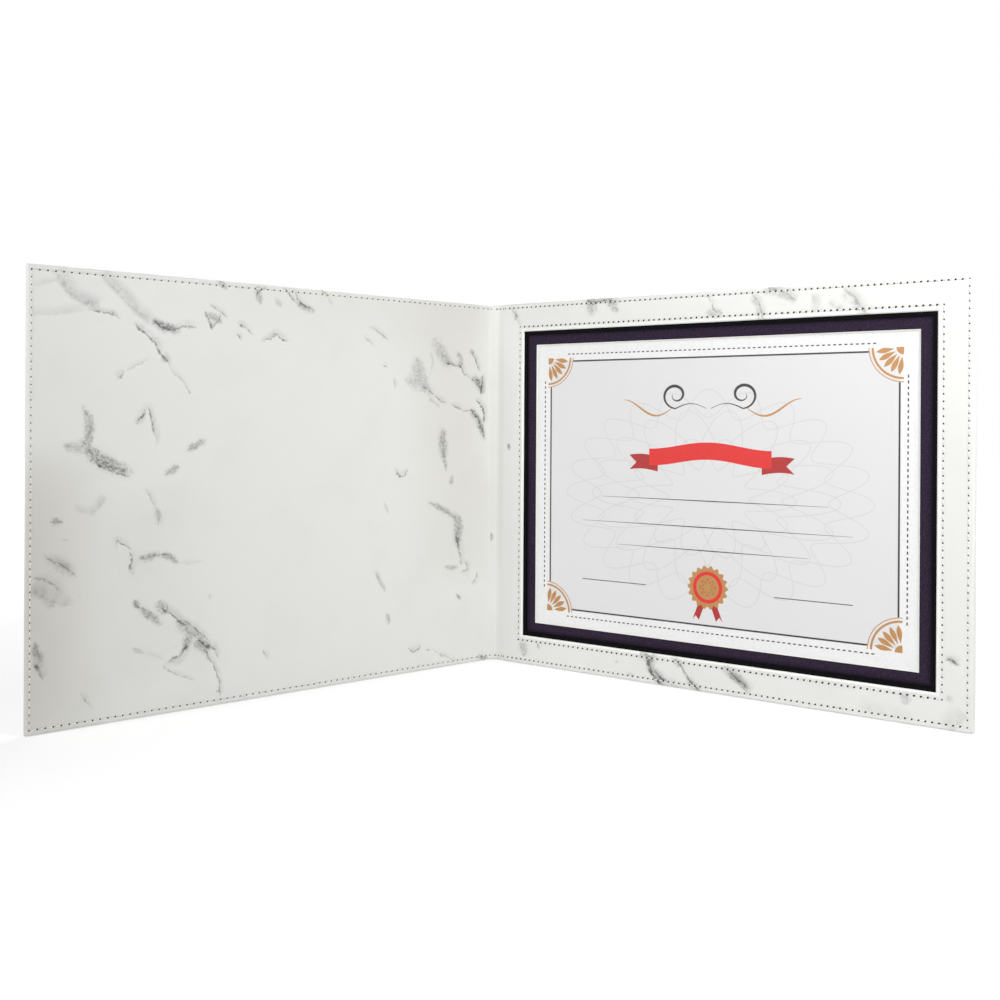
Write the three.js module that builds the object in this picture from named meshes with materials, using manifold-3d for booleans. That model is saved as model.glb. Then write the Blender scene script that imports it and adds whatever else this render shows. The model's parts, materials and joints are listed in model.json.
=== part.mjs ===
// Book-style certificate holder in marbled leatherette, standing open in a V on its lower edges.
// Millimetres, +Z up. The window cover lies in the XZ plane and faces -Y, with the spine at its left.
// Each cover layer is measured as a depth from the cover's outer face inwards.

import * as THREE from 'three';
import { mergeVertices } from 'three/addons/utils/BufferGeometryUtils.js';
import Module from 'manifold-3d';

const wasm = await Module();
wasm.setup();

// Covers and spine. Widths run from a crease axis, and the two crease axes stand SPINE_WIDTH apart.
const COVER_WIDTH = 304.8;
const COVER_HEIGHT = 241.3;
const CORNER_RADIUS = 2.0;
const SPINE_WIDTH = 11.0;
const CREASE_SETBACK = 2.4;
const REST_FOLD_DEGREES = 37.7;

// Thicknesses of the sheets and boards.
const LEATHERETTE = 0.8;
const COVER_BOARD = 1.2;
const SPINE_STRIP = 0.4;
const BACKING = 0.3;
const CERTIFICATE = 0.25;
const MAT = 0.6;
const LINER = 0.7;

// Clearances: a glued seat, a loose sheet's faces in the pocket, and its edges in the pocket.
const SEAT_GAP = 0.2;
const SLIP = 0.15;
const POCKET_CLEARANCE = 0.3;

// The window's four borders, the black lip inside its edge, how far the loose sheets run on under the frame,
// and how much of the mat and the lip shows between the window's edge and the certificate.
const SPINE_BORDER = 19.05;
const OUTER_BORDER = 19.05;
const LOWER_BORDER = 19.05;
const UPPER_BORDER = 19.05;
const LINER_LIP = 2.0;
const SHEET_OVERLAP = 6.35;
const MAT_BAND = 10.0;

// The seams: how far a row of stitches lies from the edge that it follows, and its thread.
const EDGE_SEAM_INSET = 3.0;
const WINDOW_SEAM_OFFSET = 3.2;
const THREAD_WIDTH = 0.5;
const THREAD_HEIGHT = 0.3;

// Facets: steps on a round corner and on a crease's bend, the least corner, and the overlap of a cut.
const CORNER_STEPS = 6;
const BEND_STEPS = 6;
const LEAST_RADIUS = 0.1;
const OVERCUT = 1.0;

// Which way a cover or the spine runs from its crease axis.
const RIGHT = 1;
const LEFT = -1;

const restFold = THREE.MathUtils.degToRad(REST_FOLD_DEGREES);
const coreInset = LEATHERETTE + SEAT_GAP;

// The crease axis lies in the glue between the outer skin and what is bonded to it.
const axisDepth = LEATHERETTE + SEAT_GAP / 2;

// Depths at which the layers start, from the outer face inwards.
const boardDepth = LEATHERETTE + SEAT_GAP;
const frontLiningDepth = boardDepth + COVER_BOARD + SEAT_GAP;
const frontThickness = frontLiningDepth + LEATHERETTE;
const spineLiningDepth = boardDepth + SPINE_STRIP + SEAT_GAP;
const spineThickness = spineLiningDepth + LEATHERETTE;
const backingDepth = boardDepth + COVER_BOARD + SEAT_GAP;
const pocketDepth = backingDepth + BACKING;
const certificateDepth = pocketDepth + SLIP;
const matDepth = certificateDepth + CERTIFICATE + SLIP;
const linerDepth = matDepth + MAT + SLIP;
const frameDepth = linerDepth + LINER + SEAT_GAP;
const backThickness = frameDepth + LEATHERETTE;

// The window, the sheets that the pocket takes and the mat's opening, all about the window's middle.
const windowWidth = COVER_WIDTH - SPINE_BORDER - OUTER_BORDER;
const windowHeight = COVER_HEIGHT - LOWER_BORDER - UPPER_BORDER;
const windowCentreX = SPINE_BORDER + windowWidth / 2;
const windowCentreZ = LOWER_BORDER + windowHeight / 2;

// Colours as the holder shows them.
const MARBLE_WHITE = 0xe4e5e1;
const GREYBOARD = 0x9b968c;
const BLACK_CARD = 0x17161a;
const AUBERGINE = 0x35283b;
const PAPER = 0xe8e6e8;
const THREAD_WHITE = 0xf0f0ec;

const LEATHERETTE_ROUGHNESS = 0.45;
const CARD_ROUGHNESS = 0.9;
const PAPER_ROUGHNESS = 0.7;
const THREAD_ROUGHNESS = 0.8;

function piece(name, geometry, color, roughness) {
  const material = new THREE.MeshStandardMaterial({ color, roughness, metalness: 0 });
  const mesh = new THREE.Mesh(geometry, material);
  mesh.name = name;
  return mesh;
}

// A flat layer: its outline in the cover's plane, between two depths below the outer face.
function layer(outline, fromDepth, toDepth) {
  const geometry = new THREE.ExtrudeGeometry(outline, {
    depth: toDepth - fromDepth,
    bevelEnabled: false,
    steps: 1,
  });
  geometry.rotateX(Math.PI / 2);
  geometry.translate(0, axisDepth - fromDepth, 0);
  return geometry;
}

// Joined vertices make a closed mesh a solid that can be cut.
function solidOf(geometry) {
  const bare = geometry.clone();
  bare.deleteAttribute('normal');
  bare.deleteAttribute('uv');
  const joined = mergeVertices(bare);
  return new wasm.Manifold(new wasm.Mesh({
    numProp: 3,
    vertProperties: new Float32Array(joined.attributes.position.array),
    triVerts: new Uint32Array(joined.index.array),
  }));
}

function geometryOf(solid) {
  const mesh = solid.getMesh();
  const geometry = new THREE.BufferGeometry();
  geometry.setAttribute('position', new THREE.BufferAttribute(mesh.vertProperties, mesh.numProp));
  geometry.setIndex(new THREE.BufferAttribute(mesh.triVerts, 1));
  geometry.computeVertexNormals();
  return geometry;
}

function cut(block, hollow) {
  return geometryOf(solidOf(block).subtract(solidOf(hollow)));
}

// A cover's free edge, inset, from the crease along the bottom, up the outer side and back along the top.
function coverEdge(side, inset) {
  const outer = COVER_WIDTH - inset;
  const top = COVER_HEIGHT - inset;
  const radius = Math.max(CORNER_RADIUS - inset, LEAST_RADIUS);
  const edge = new THREE.Path();
  edge.moveTo(CREASE_SETBACK, inset);
  edge.lineTo(outer - radius, inset);
  edge.absarc(outer - radius, inset + radius, radius, -Math.PI / 2, 0, false);
  edge.lineTo(outer, top - radius);
  edge.absarc(outer - radius, top - radius, radius, 0, Math.PI / 2, false);
  edge.lineTo(CREASE_SETBACK, top);
  return edge.getPoints(CORNER_STEPS).map((point) => new THREE.Vector2(side * point.x, point.y));
}

function coverOutline(side, inset) {
  return new THREE.Shape(coverEdge(side, inset));
}

// The spine's rigid middle stops short of both crease axes.
function spineOutline(inset, overhang = 0) {
  const near = -CREASE_SETBACK + overhang;
  const far = -SPINE_WIDTH + CREASE_SETBACK - overhang;
  return new THREE.Shape([
    new THREE.Vector2(near, inset),
    new THREE.Vector2(far, inset),
    new THREE.Vector2(far, COVER_HEIGHT - inset),
    new THREE.Vector2(near, COVER_HEIGHT - inset),
  ]);
}

// The window's rectangle, grown on every side, or shrunk by a margin below zero.
function windowPoints(margin) {
  const left = windowCentreX - windowWidth / 2 - margin;
  const right = windowCentreX + windowWidth / 2 + margin;
  const bottom = windowCentreZ - windowHeight / 2 - margin;
  const top = windowCentreZ + windowHeight / 2 + margin;
  return [
    new THREE.Vector2(left, bottom),
    new THREE.Vector2(right, bottom),
    new THREE.Vector2(right, top),
    new THREE.Vector2(left, top),
  ];
}

function withOpening(outline, margin) {
  outline.holes.push(new THREE.Path(windowPoints(margin)));
  return outline;
}

// The outer leatherette's flat face on a cover.
function coverSkin(side) {
  return layer(coverOutline(side, 0), 0, LEATHERETTE);
}

// The outer leatherette where it is turned in over the board along the three free edges.
function turnIn(side, rimDepth) {
  const outside = coverEdge(side, 0);
  const inside = coverEdge(side, LEATHERETTE);
  return layer(new THREE.Shape([...outside, ...inside.reverse()]), LEATHERETTE + SEAT_GAP, rimDepth);
}

// The spine's leatherette is turned in only at its top and bottom.
function spineSkin(rimDepth) {
  const block = layer(spineOutline(0), 0, rimDepth);
  return cut(block, layer(spineOutline(LEATHERETTE, OVERCUT), LEATHERETTE, rimDepth + OVERCUT));
}

// Where a near face and a far face at these depths would meet, in plan about the crease axis.
function creaseCorner(nearDepth, farDepth) {
  const nearY = axisDepth - nearDepth;
  const farY = axisDepth - farDepth;
  const along = (nearY - farY * Math.cos(restFold)) / Math.sin(restFold);
  return new THREE.Vector2(along * Math.cos(restFold) - farY * Math.sin(restFold), nearY);
}

// A strip of leatherette that bends round a crease, from depths near it to depths beyond it.
function creaseStrip(nearDepths, farDepths) {
  const reach = CREASE_SETBACK - SEAT_GAP;
  const axis = new THREE.Vector2();
  const near = nearDepths.map((depth) => new THREE.Vector2(reach, axisDepth - depth));
  const far = farDepths.map((depth) => {
    return new THREE.Vector2(-reach, axisDepth - depth).rotateAround(axis, restFold);
  });
  const outer = creaseCorner(nearDepths[0], farDepths[0]);
  const inner = creaseCorner(nearDepths[1], farDepths[1]);
  const section = new THREE.Shape();
  section.moveTo(near[0].x, near[0].y);
  section.quadraticCurveTo(outer.x, outer.y, far[0].x, far[0].y);
  section.lineTo(far[1].x, far[1].y);
  section.quadraticCurveTo(inner.x, inner.y, near[1].x, near[1].y);
  section.closePath();
  return new THREE.ExtrudeGeometry(section, {
    depth: COVER_HEIGHT,
    bevelEnabled: false,
    curveSegments: BEND_STEPS,
  });
}

// A row of stitches lies on a face: above it on the inside, below it on the outside.
function insideThread(outline, faceDepth) {
  return layer(outline, faceDepth + SEAT_GAP, faceDepth + SEAT_GAP + THREAD_HEIGHT);
}

function outsideThread(outline) {
  return layer(outline, -SEAT_GAP - THREAD_HEIGHT, -SEAT_GAP);
}

function edgeSeam(side) {
  const outside = coverEdge(side, EDGE_SEAM_INSET - THREAD_WIDTH / 2);
  const inside = coverEdge(side, EDGE_SEAM_INSET + THREAD_WIDTH / 2);
  return new THREE.Shape([...outside, ...inside.reverse()]);
}

function spineSeam(height) {
  const near = -CREASE_SETBACK;
  const far = -SPINE_WIDTH + CREASE_SETBACK;
  return new THREE.Shape([
    new THREE.Vector2(near, height - THREAD_WIDTH / 2),
    new THREE.Vector2(far, height - THREAD_WIDTH / 2),
    new THREE.Vector2(far, height + THREAD_WIDTH / 2),
    new THREE.Vector2(near, height + THREAD_WIDTH / 2),
  ]);
}

function windowSeam() {
  const outside = new THREE.Shape(windowPoints(WINDOW_SEAM_OFFSET + THREAD_WIDTH / 2));
  return withOpening(outside, WINDOW_SEAM_OFFSET - THREAD_WIDTH / 2);
}

// Card that closes the pocket at the bottom, the outer side and the top, and leaves it open to the spine.
function pocketSpacer() {
  const [lowLeft, lowRight, highRight, highLeft] = windowPoints(SHEET_OVERLAP + POCKET_CLEARANCE);
  lowLeft.x = CREASE_SETBACK;
  highLeft.x = CREASE_SETBACK;
  const outline = new THREE.Shape([
    ...coverEdge(RIGHT, coreInset), highLeft, highRight, lowRight, lowLeft,
  ]);
  return layer(outline, pocketDepth + SEAT_GAP, linerDepth - SEAT_GAP);
}

// The window cover: board and pocket inside the turned-in skin, closed by the stitched frame.
function backCover() {
  const group = new THREE.Group();
  const edge = turnIn(RIGHT, frameDepth - SEAT_GAP);
  const board = layer(coverOutline(RIGHT, coreInset), boardDepth, boardDepth + COVER_BOARD);
  const backing = layer(coverOutline(RIGHT, coreInset), backingDepth, pocketDepth);
  const linerOutline = withOpening(coverOutline(RIGHT, coreInset), -LINER_LIP);
  const liner = layer(linerOutline, linerDepth, linerDepth + LINER);
  const frameOutline = withOpening(coverOutline(RIGHT, 0), 0);
  const frame = layer(frameOutline, frameDepth, backThickness);
  group.add(
    piece('back_cover_skin', coverSkin(RIGHT), MARBLE_WHITE, LEATHERETTE_ROUGHNESS),
    piece('back_turn_in', edge, MARBLE_WHITE, LEATHERETTE_ROUGHNESS),
    piece('back_board', board, GREYBOARD, CARD_ROUGHNESS),
    piece('backing_sheet', backing, BLACK_CARD, CARD_ROUGHNESS),
    piece('pocket_spacer', pocketSpacer(), BLACK_CARD, CARD_ROUGHNESS),
    piece('frame_liner', liner, BLACK_CARD, CARD_ROUGHNESS),
    piece('window_frame', frame, MARBLE_WHITE, LEATHERETTE_ROUGHNESS),
  );
  group.add(
    piece('back_stitching_inside', insideThread(edgeSeam(RIGHT), backThickness),
      THREAD_WHITE, THREAD_ROUGHNESS),
    piece('back_stitching_outside', outsideThread(edgeSeam(RIGHT)), THREAD_WHITE, THREAD_ROUGHNESS),
    piece('window_stitching', insideThread(windowSeam(), backThickness), THREAD_WHITE, THREAD_ROUGHNESS),
  );
  return group;
}

// The loose sheets in the pocket: the certificate and, over it, the mat that frames it.
function looseSheets() {
  const group = new THREE.Group();
  const sheet = new THREE.Shape(windowPoints(SHEET_OVERLAP));
  const matOutline = withOpening(new THREE.Shape(windowPoints(SHEET_OVERLAP)), -MAT_BAND);
  group.add(
    piece('certificate', layer(sheet, certificateDepth, certificateDepth + CERTIFICATE),
      PAPER, PAPER_ROUGHNESS),
    piece('mat', layer(matOutline, matDepth, matDepth + MAT), AUBERGINE, CARD_ROUGHNESS),
  );
  return group;
}

// The spine: a stiffening strip between its skin and its lining, and the threads that cross it.
function spine() {
  const group = new THREE.Group();
  const skin = spineSkin(spineLiningDepth - SEAT_GAP);
  const strip = layer(spineOutline(coreInset), boardDepth, boardDepth + SPINE_STRIP);
  const lining = layer(spineOutline(0), spineLiningDepth, spineThickness);
  group.add(
    piece('spine_skin', skin, MARBLE_WHITE, LEATHERETTE_ROUGHNESS),
    piece('spine_strip', strip, GREYBOARD, CARD_ROUGHNESS),
    piece('spine_lining', lining, MARBLE_WHITE, LEATHERETTE_ROUGHNESS),
  );
  const seamHeights = { bottom: EDGE_SEAM_INSET, top: COVER_HEIGHT - EDGE_SEAM_INSET };
  for (const [end, height] of Object.entries(seamHeights)) {
    const inside = insideThread(spineSeam(height), spineThickness);
    const outside = outsideThread(spineSeam(height));
    group.add(
      piece(`spine_stitching_${end}_inside`, inside, THREAD_WHITE, THREAD_ROUGHNESS),
      piece(`spine_stitching_${end}_outside`, outside, THREAD_WHITE, THREAD_ROUGHNESS),
    );
  }
  return group;
}

// The plain cover: its board between the turned-in skin and the lining.
function frontCover() {
  const group = new THREE.Group();
  const edge = turnIn(LEFT, frontLiningDepth - SEAT_GAP);
  const board = layer(coverOutline(LEFT, coreInset), boardDepth, boardDepth + COVER_BOARD);
  const lining = layer(coverOutline(LEFT, 0), frontLiningDepth, frontThickness);
  group.add(
    piece('front_cover_skin', coverSkin(LEFT), MARBLE_WHITE, LEATHERETTE_ROUGHNESS),
    piece('front_turn_in', edge, MARBLE_WHITE, LEATHERETTE_ROUGHNESS),
    piece('front_board', board, GREYBOARD, CARD_ROUGHNESS),
    piece('front_lining', lining, MARBLE_WHITE, LEATHERETTE_ROUGHNESS),
    piece('front_stitching_inside', insideThread(edgeSeam(LEFT), frontThickness),
      THREAD_WHITE, THREAD_ROUGHNESS),
    piece('front_stitching_outside', outsideThread(edgeSeam(LEFT)), THREAD_WHITE, THREAD_ROUGHNESS),
  );
  return group;
}

// The leatherette that bends at a crease: the outer skin and the lining, on the way from one side to the other.
function crease(name, nearLining, farLining) {
  const group = new THREE.Group();
  const skinDepths = [0, LEATHERETTE];
  group.add(
    piece(`${name}_outer`, creaseStrip(skinDepths, skinDepths), MARBLE_WHITE, LEATHERETTE_ROUGHNESS),
    piece(`${name}_inner`, creaseStrip(nearLining, farLining), MARBLE_WHITE, LEATHERETTE_ROUGHNESS),
  );
  return group;
}

// The assembly, folded at its two creases as it stands. The spine's lining is pared to the backing's thickness.
function holder() {
  const group = new THREE.Group();
  const backLining = [backingDepth, pocketDepth];
  const spineLining = [spineLiningDepth, spineThickness];
  const frontLining = [frontLiningDepth, frontThickness];

  const spineGroup = spine();
  spineGroup.rotation.z = restFold;
  const frontCreaseGroup = crease('front_crease', spineLining, frontLining);
  frontCreaseGroup.position.x = -SPINE_WIDTH;
  const frontGroup = frontCover();
  frontGroup.position.x = -SPINE_WIDTH;
  frontGroup.rotation.z = restFold;
  spineGroup.add(frontCreaseGroup, frontGroup);

  group.add(backCover(), looseSheets(), crease('back_crease', backLining, spineLining), spineGroup);

  // The origin is the middle of the box that the holder stands in, on the surface under it.
  group.updateMatrixWorld(true);
  const box = new THREE.Box3().setFromObject(group);
  const middle = box.getCenter(new THREE.Vector3());
  group.position.set(-middle.x, -middle.y, -box.min.z);
  return group;
}

export default holder();
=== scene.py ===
"""Looks of an open certificate holder in white marbled leatherette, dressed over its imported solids."""

import json
import logging
import math
from dataclasses import dataclass, field
from enum import Enum
from functools import partial
from typing import Callable, Sequence

import bpy
import numpy as np
from mathutils import Matrix, Vector


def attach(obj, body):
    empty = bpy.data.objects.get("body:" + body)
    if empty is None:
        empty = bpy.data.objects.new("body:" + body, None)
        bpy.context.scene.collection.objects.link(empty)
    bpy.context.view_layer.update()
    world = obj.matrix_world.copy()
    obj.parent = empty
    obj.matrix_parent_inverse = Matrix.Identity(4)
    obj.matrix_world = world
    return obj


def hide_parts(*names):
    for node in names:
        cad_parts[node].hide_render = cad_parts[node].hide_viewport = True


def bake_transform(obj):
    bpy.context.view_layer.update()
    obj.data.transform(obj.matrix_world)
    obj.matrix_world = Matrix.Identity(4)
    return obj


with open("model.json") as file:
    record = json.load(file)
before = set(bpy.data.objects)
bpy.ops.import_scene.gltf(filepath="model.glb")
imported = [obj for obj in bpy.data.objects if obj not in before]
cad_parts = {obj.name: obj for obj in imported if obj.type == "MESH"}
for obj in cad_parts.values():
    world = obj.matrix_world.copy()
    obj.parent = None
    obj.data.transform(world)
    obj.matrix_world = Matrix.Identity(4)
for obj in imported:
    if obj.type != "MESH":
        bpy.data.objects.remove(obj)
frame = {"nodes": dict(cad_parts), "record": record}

LOG = logging.getLogger("certificate_holder")
MM = 0.001
TINY = 1e-9
WHITE = "#FFFFFF"
SHARP_EDGE = math.radians(40)

# Sizes of the leatherette and its seams, in millimetres.
ROLL_RADIUS = 1.2
SIDE_ROLL_RADIUS = 2.0
CORNER_RADIUS = 1.2
EDGE_DEPTH = 1.6
SPINE_EDGE_DEPTH = 1.2
SHEET_THICKNESS = 0.7
LINING_BRIDGE = 0.9
GRID_PITCH = 1.6
SEAM_INSET = 3.0
SIDE_SEAM_INSET = 2.3
SEAM_GROOVE = 0.18
PLAIN_PITCH = 4.05
WINDOW_PITCH = 3.57
UPRIGHT_PITCH = 3.93

# Past this distance from its course a fine line of the print no longer shows.
FAR_OFFSET = 6.0
LINE_LAYERS = ("vein_a", "vein_b", "vein_c")

Array = np.ndarray
Path2 = Sequence[tuple[float, float]]
Box = tuple[float, float, float, float]
Shell = tuple[Array, Array | list[list[int]]]
Material = bpy.types.Material
Piece = bpy.types.Object


class Face(Enum):
    """Which face of the open holder a sheet shows, as the sign of its outward normal on a leaf's own y."""

    INSIDE = -1
    OUTSIDE = 1


class VeinKind(Enum):
    """How a vein of the marble print looks."""

    LINE = "line"
    STREAK = "streak"
    GRAIN = "grain"
    # A cloud is painted shade: a broad soft darkening where the light falls off.
    CLOUD = "cloud"

    def cover(self, ratio: Array) -> Array:
        """Gives how fully the vein covers the sheet, at signed distances in half widths.

        A stippled patch and a cloud of painted shade are bell curves. A streak rises steeply on one side and
        fades slowly on the other.

        Args:
            ratio: signed distances from the vein's course, in half widths.

        Returns:
            The cover, from 0 to 1.
        """
        if self is VeinKind.GRAIN:
            return np.exp(-((ratio / 1.35) ** 2))
        if self is VeinKind.CLOUD:
            return np.exp(-(ratio**2))
        rise, fade = np.clip((ratio + 1.5) / 0.9, 0, 1), np.clip((1.9 - ratio) / 2.4, 0, 1)
        return rise**2 * (3 - 2 * rise) * fade**2 * (3 - 2 * fade)


class Ink(Enum):
    """An ink of the certificate's print, by the name of its finish."""

    TINT = "pale_grey_ink"
    GOLD = "ochre_gold_ink"
    RED = "red_ink"
    DEEP_RED = "deep_red_ink"
    DARK = "charcoal_ink"
    FAINT = "faint_grey_ink"


class Op(Enum):
    """An operation of the shaders: a node's type name, and the one setting that it is used with."""

    SUM = ("ShaderNodeMath", "operation", "ADD")
    LESS = ("ShaderNodeMath", "operation", "SUBTRACT")
    TIMES = ("ShaderNodeMath", "operation", "MULTIPLY")
    TIMES_PLUS = ("ShaderNodeMath", "operation", "MULTIPLY_ADD")
    OVER = ("ShaderNodeMath", "operation", "DIVIDE")
    SIZE = ("ShaderNodeMath", "operation", "ABSOLUTE")
    MOST = ("ShaderNodeMath", "operation", "MAXIMUM")
    LEAST = ("ShaderNodeMath", "operation", "MINIMUM")
    STEP = ("ShaderNodeMapRange", "interpolation_type", "SMOOTHSTEP")
    BLEND = ("ShaderNodeMix", "data_type", "RGBA")
    FLAT_NOISE = ("ShaderNodeTexNoise", "noise_dimensions", "2D")


@dataclass(frozen=True)
class Leaf:
    """A flat leaf of the holder, turned about an upright crease axis.

    Attributes:
        axis: plan position of the crease axis, in millimetres.
        turn: angle of the leaf's own x from the shared frame's +X, in radians.
    """

    axis: tuple[float, float]
    turn: float

    def plan(self, x: Array, y: Array) -> Array:
        """Turns the leaf's own x and y about its axis into plan positions.

        Args:
            x: distance along the leaf from the axis, in millimetres.
            y: distance square to the leaf, with the inside below zero.

        Returns:
            Plan positions, with a last dimension of two.
        """
        cos, sin = math.cos(self.turn), math.sin(self.turn)
        return np.stack((self.axis[0] + cos * x - sin * y, self.axis[1] + sin * x + cos * y), axis=-1)

    def place(self, x: Array | float, y: Array | float, z: Array | float) -> Array:
        """Places points of the leaf, at its own x and y and a height z, in the shared frame."""
        x, y, z = np.broadcast_arrays(x, y, z)
        return np.concatenate((self.plan(x, y), z[..., None]), axis=-1)

    def own(self, node: str) -> Array:
        """Gives a solid's corner points in the leaf's own x, y and z, in millimetres.

        Args:
            node: the solid's name.

        Returns:
            The points, one a row.
        """
        mesh = frame["nodes"][node].data
        points = np.empty(len(mesh.vertices) * 3)
        mesh.vertices.foreach_get("co", points)
        points = points.reshape(-1, 3) / MM
        cos, sin = math.cos(self.turn), math.sin(self.turn)
        dx, dy = points[:, 0] - self.axis[0], points[:, 1] - self.axis[1]
        return np.stack((cos * dx + sin * dy, cos * dy - sin * dx, points[:, 2]), axis=-1)


@dataclass(frozen=True)
class HolderPlan:
    """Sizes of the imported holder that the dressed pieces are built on, in millimetres.

    Attributes:
        back: the leaf of the window cover.
        spine: the leaf of the spine, about the window cover's crease.
        front: the leaf of the plain cover.
        width: a cover from its crease axis to its outer edge.
        height: the covers' height.
        spine_width: distance between the two crease axes.
        outer_face: the outer skin's own y on every leaf.
        front_face: the plain lining's own y.
        spine_face: the spine lining's own y.
        frame_face: the window frame's own y.
        frame_start: the window frame's free edge beside the spine.
        window: lowest and highest x and z of the window.
        lip: lowest and highest x and z of the black lip's opening.
        mat_opening: lowest and highest x and z of the mat's opening.
        mat_outline: lowest and highest x and z of the mat.
        mat_depth: the mat's front and back own y.
        paper_face: the certificate's front own y.
    """

    back: Leaf
    spine: Leaf
    front: Leaf
    width: float
    height: float
    spine_width: float
    outer_face: float
    front_face: float
    spine_face: float
    frame_face: float
    frame_start: float
    window: Box
    lip: Box
    mat_opening: Box
    mat_outline: Box
    mat_depth: tuple[float, float]
    paper_face: float

    @classmethod
    def read(cls) -> "HolderPlan":
        """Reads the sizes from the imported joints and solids.

        Returns:
            The holder's sizes.
        """
        joints = {joint["name"]: joint["pos_m"] for joint in frame["record"]["behaviour"]["joints"][:2]}
        back_axis, front_axis = (
            tuple(value / MM for value in joints[name][:2]) for name in ("back_crease", "front_crease")
        )
        step = (back_axis[0] - front_axis[0], back_axis[1] - front_axis[1])
        fold = math.atan2(step[1], step[0])
        back, spine, front = Leaf(back_axis, 0.0), Leaf(back_axis, fold), Leaf(front_axis, 2 * fold)
        skin, sheet, mat = (back.own(node) for node in ("back_cover_skin", "window_frame", "mat"))
        return cls(
            back=back,
            spine=spine,
            front=front,
            width=float(skin[:, 0].max()),
            height=float(skin[:, 2].max()),
            spine_width=math.hypot(*step),
            outer_face=float(skin[:, 1].max()),
            front_face=float(front.own("front_lining")[:, 1].min()),
            spine_face=float(spine.own("spine_lining")[:, 1].min()),
            frame_face=float(sheet[:, 1].min()),
            frame_start=float(sheet[:, 0].min()),
            window=cls.opening(sheet),
            lip=cls.opening(back.own("frame_liner")),
            mat_opening=cls.opening(mat),
            mat_outline=(mat[:, 0].min(), mat[:, 0].max(), mat[:, 2].min(), mat[:, 2].max()),
            mat_depth=(float(mat[:, 1].min()), float(mat[:, 1].max())),
            paper_face=float(back.own("certificate")[:, 1].min()),
        )

    @staticmethod
    def opening(points: Array) -> Box:
        """Finds the opening of a flat ring from its points: the second and third x, and the z span there."""
        low, high = np.unique(np.round(points[:, 0], 2))[1:3]
        edge = points[np.abs(points[:, 0] - low) < 0.02][:, 2]
        return float(low), float(high), float(edge.min()), float(edge.max())


def closed_sheet(face: Array, rear: Array, ring: bool = False) -> Shell:
    """Joins a face grid and a rear grid into one closed shell, with walls along the borders.

    Args:
        face: rows x columns x 3 points of the shown side.
        rear: the same grid on the other side.
        ring: whether the last column joins the first.

    Returns:
        The vertices and the quads of the shell, the rear grid's after the face grid's.
    """
    rows, columns = face.shape[:2]
    count = rows * columns
    index = np.arange(count).reshape(rows, columns)
    if ring:
        index = np.concatenate((index, index[:, :1]), axis=1)
    corners = (index[:-1, :-1], index[:-1, 1:], index[1:, 1:], index[1:, :-1])
    quads = np.stack(corners, axis=-1).reshape(-1, 4)
    borders = [index[0, ::-1], index[-1]]
    if not ring:
        borders += [index[:, 0], index[::-1, -1]]
    walls = [np.stack((e[1:], e[1:] + count, e[:-1] + count, e[:-1]), axis=-1) for e in borders]
    quads = np.concatenate((quads, quads[:, ::-1] + count, *walls))
    return outward(np.concatenate((face.reshape(-1, 3), rear.reshape(-1, 3))), quads)


def outward(vertices: Array, quads: Array) -> Shell:
    """Turns a closed shell's quads outwards, by the sign of the volume that they enclose.

    Args:
        vertices: the shell's points.
        quads: vertex numbers of its faces.

    Returns:
        The vertices and the turned quads.
    """
    corner = vertices[quads] - vertices.mean(axis=0)
    halves = np.cross(corner[:, 1], corner[:, 2]) + np.cross(corner[:, 2], corner[:, 3])
    return vertices, quads if np.einsum("ij,ij->", corner[:, 0], halves) > 0 else quads[:, ::-1]


def surface_normals(grid: Array) -> Array:
    """Works out unit normals of a grid of points, from the cross product of its two tangents."""
    normal = np.cross(np.gradient(grid, axis=0), np.gradient(grid, axis=1))
    return normal / np.maximum(np.linalg.norm(normal, axis=-1, keepdims=True), TINY)


def make_piece(
    name: str,
    vertices: Array,
    faces: Array | list[list[int]],
    material: Material,
    smooth: bool = True,
    sheet: Array | None = None,
    fields: dict[str, Array] | None = None,
) -> Piece:
    """Puts points and faces into a mesh object at the origin.

    Args:
        name: the piece's name.
        vertices: points in millimetres, in the shared frame.
        faces: vertex numbers of each face.
        material: the finish.
        smooth: whether the faces are shaded smooth, with sharp edges kept.
        sheet: unrolled place of each vertex in millimetres, kept as the piece's own UV map in metres.
        fields: further values of each vertex, one or three numbers each.

    Returns:
        The new object.
    """
    mesh = bpy.data.meshes.new(name)
    mesh.from_pydata(vertices * MM, [], faces if isinstance(faces, list) else faces.tolist())
    if sheet is not None:
        corners = np.empty(len(mesh.loops), dtype=np.int32)
        mesh.loops.foreach_get("vertex_index", corners)
        layer = mesh.uv_layers.new(name="sheet")
        layer.uv.foreach_set("vector", (sheet[corners] * MM).astype(np.float32).ravel())
    for label, values in (fields or {}).items():
        kind, socket = ("FLOAT_VECTOR", "vector") if values.ndim == 2 else ("FLOAT", "value")
        attribute = mesh.attributes.new(label, kind, "POINT")
        attribute.data.foreach_set(socket, values.astype(np.float32).ravel())
    mesh.validate()
    mesh.update()
    if smooth:
        mesh.polygons.foreach_set("use_smooth", np.ones(len(mesh.polygons), dtype=bool))
        mesh.set_sharp_from_angle(angle=SHARP_EDGE)
    mesh.materials.append(material)
    piece = bpy.data.objects.new(name, mesh)
    bpy.context.scene.collection.objects.link(piece)
    LOG.info("%s: %d faces", name, len(mesh.polygons))
    return piece


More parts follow.
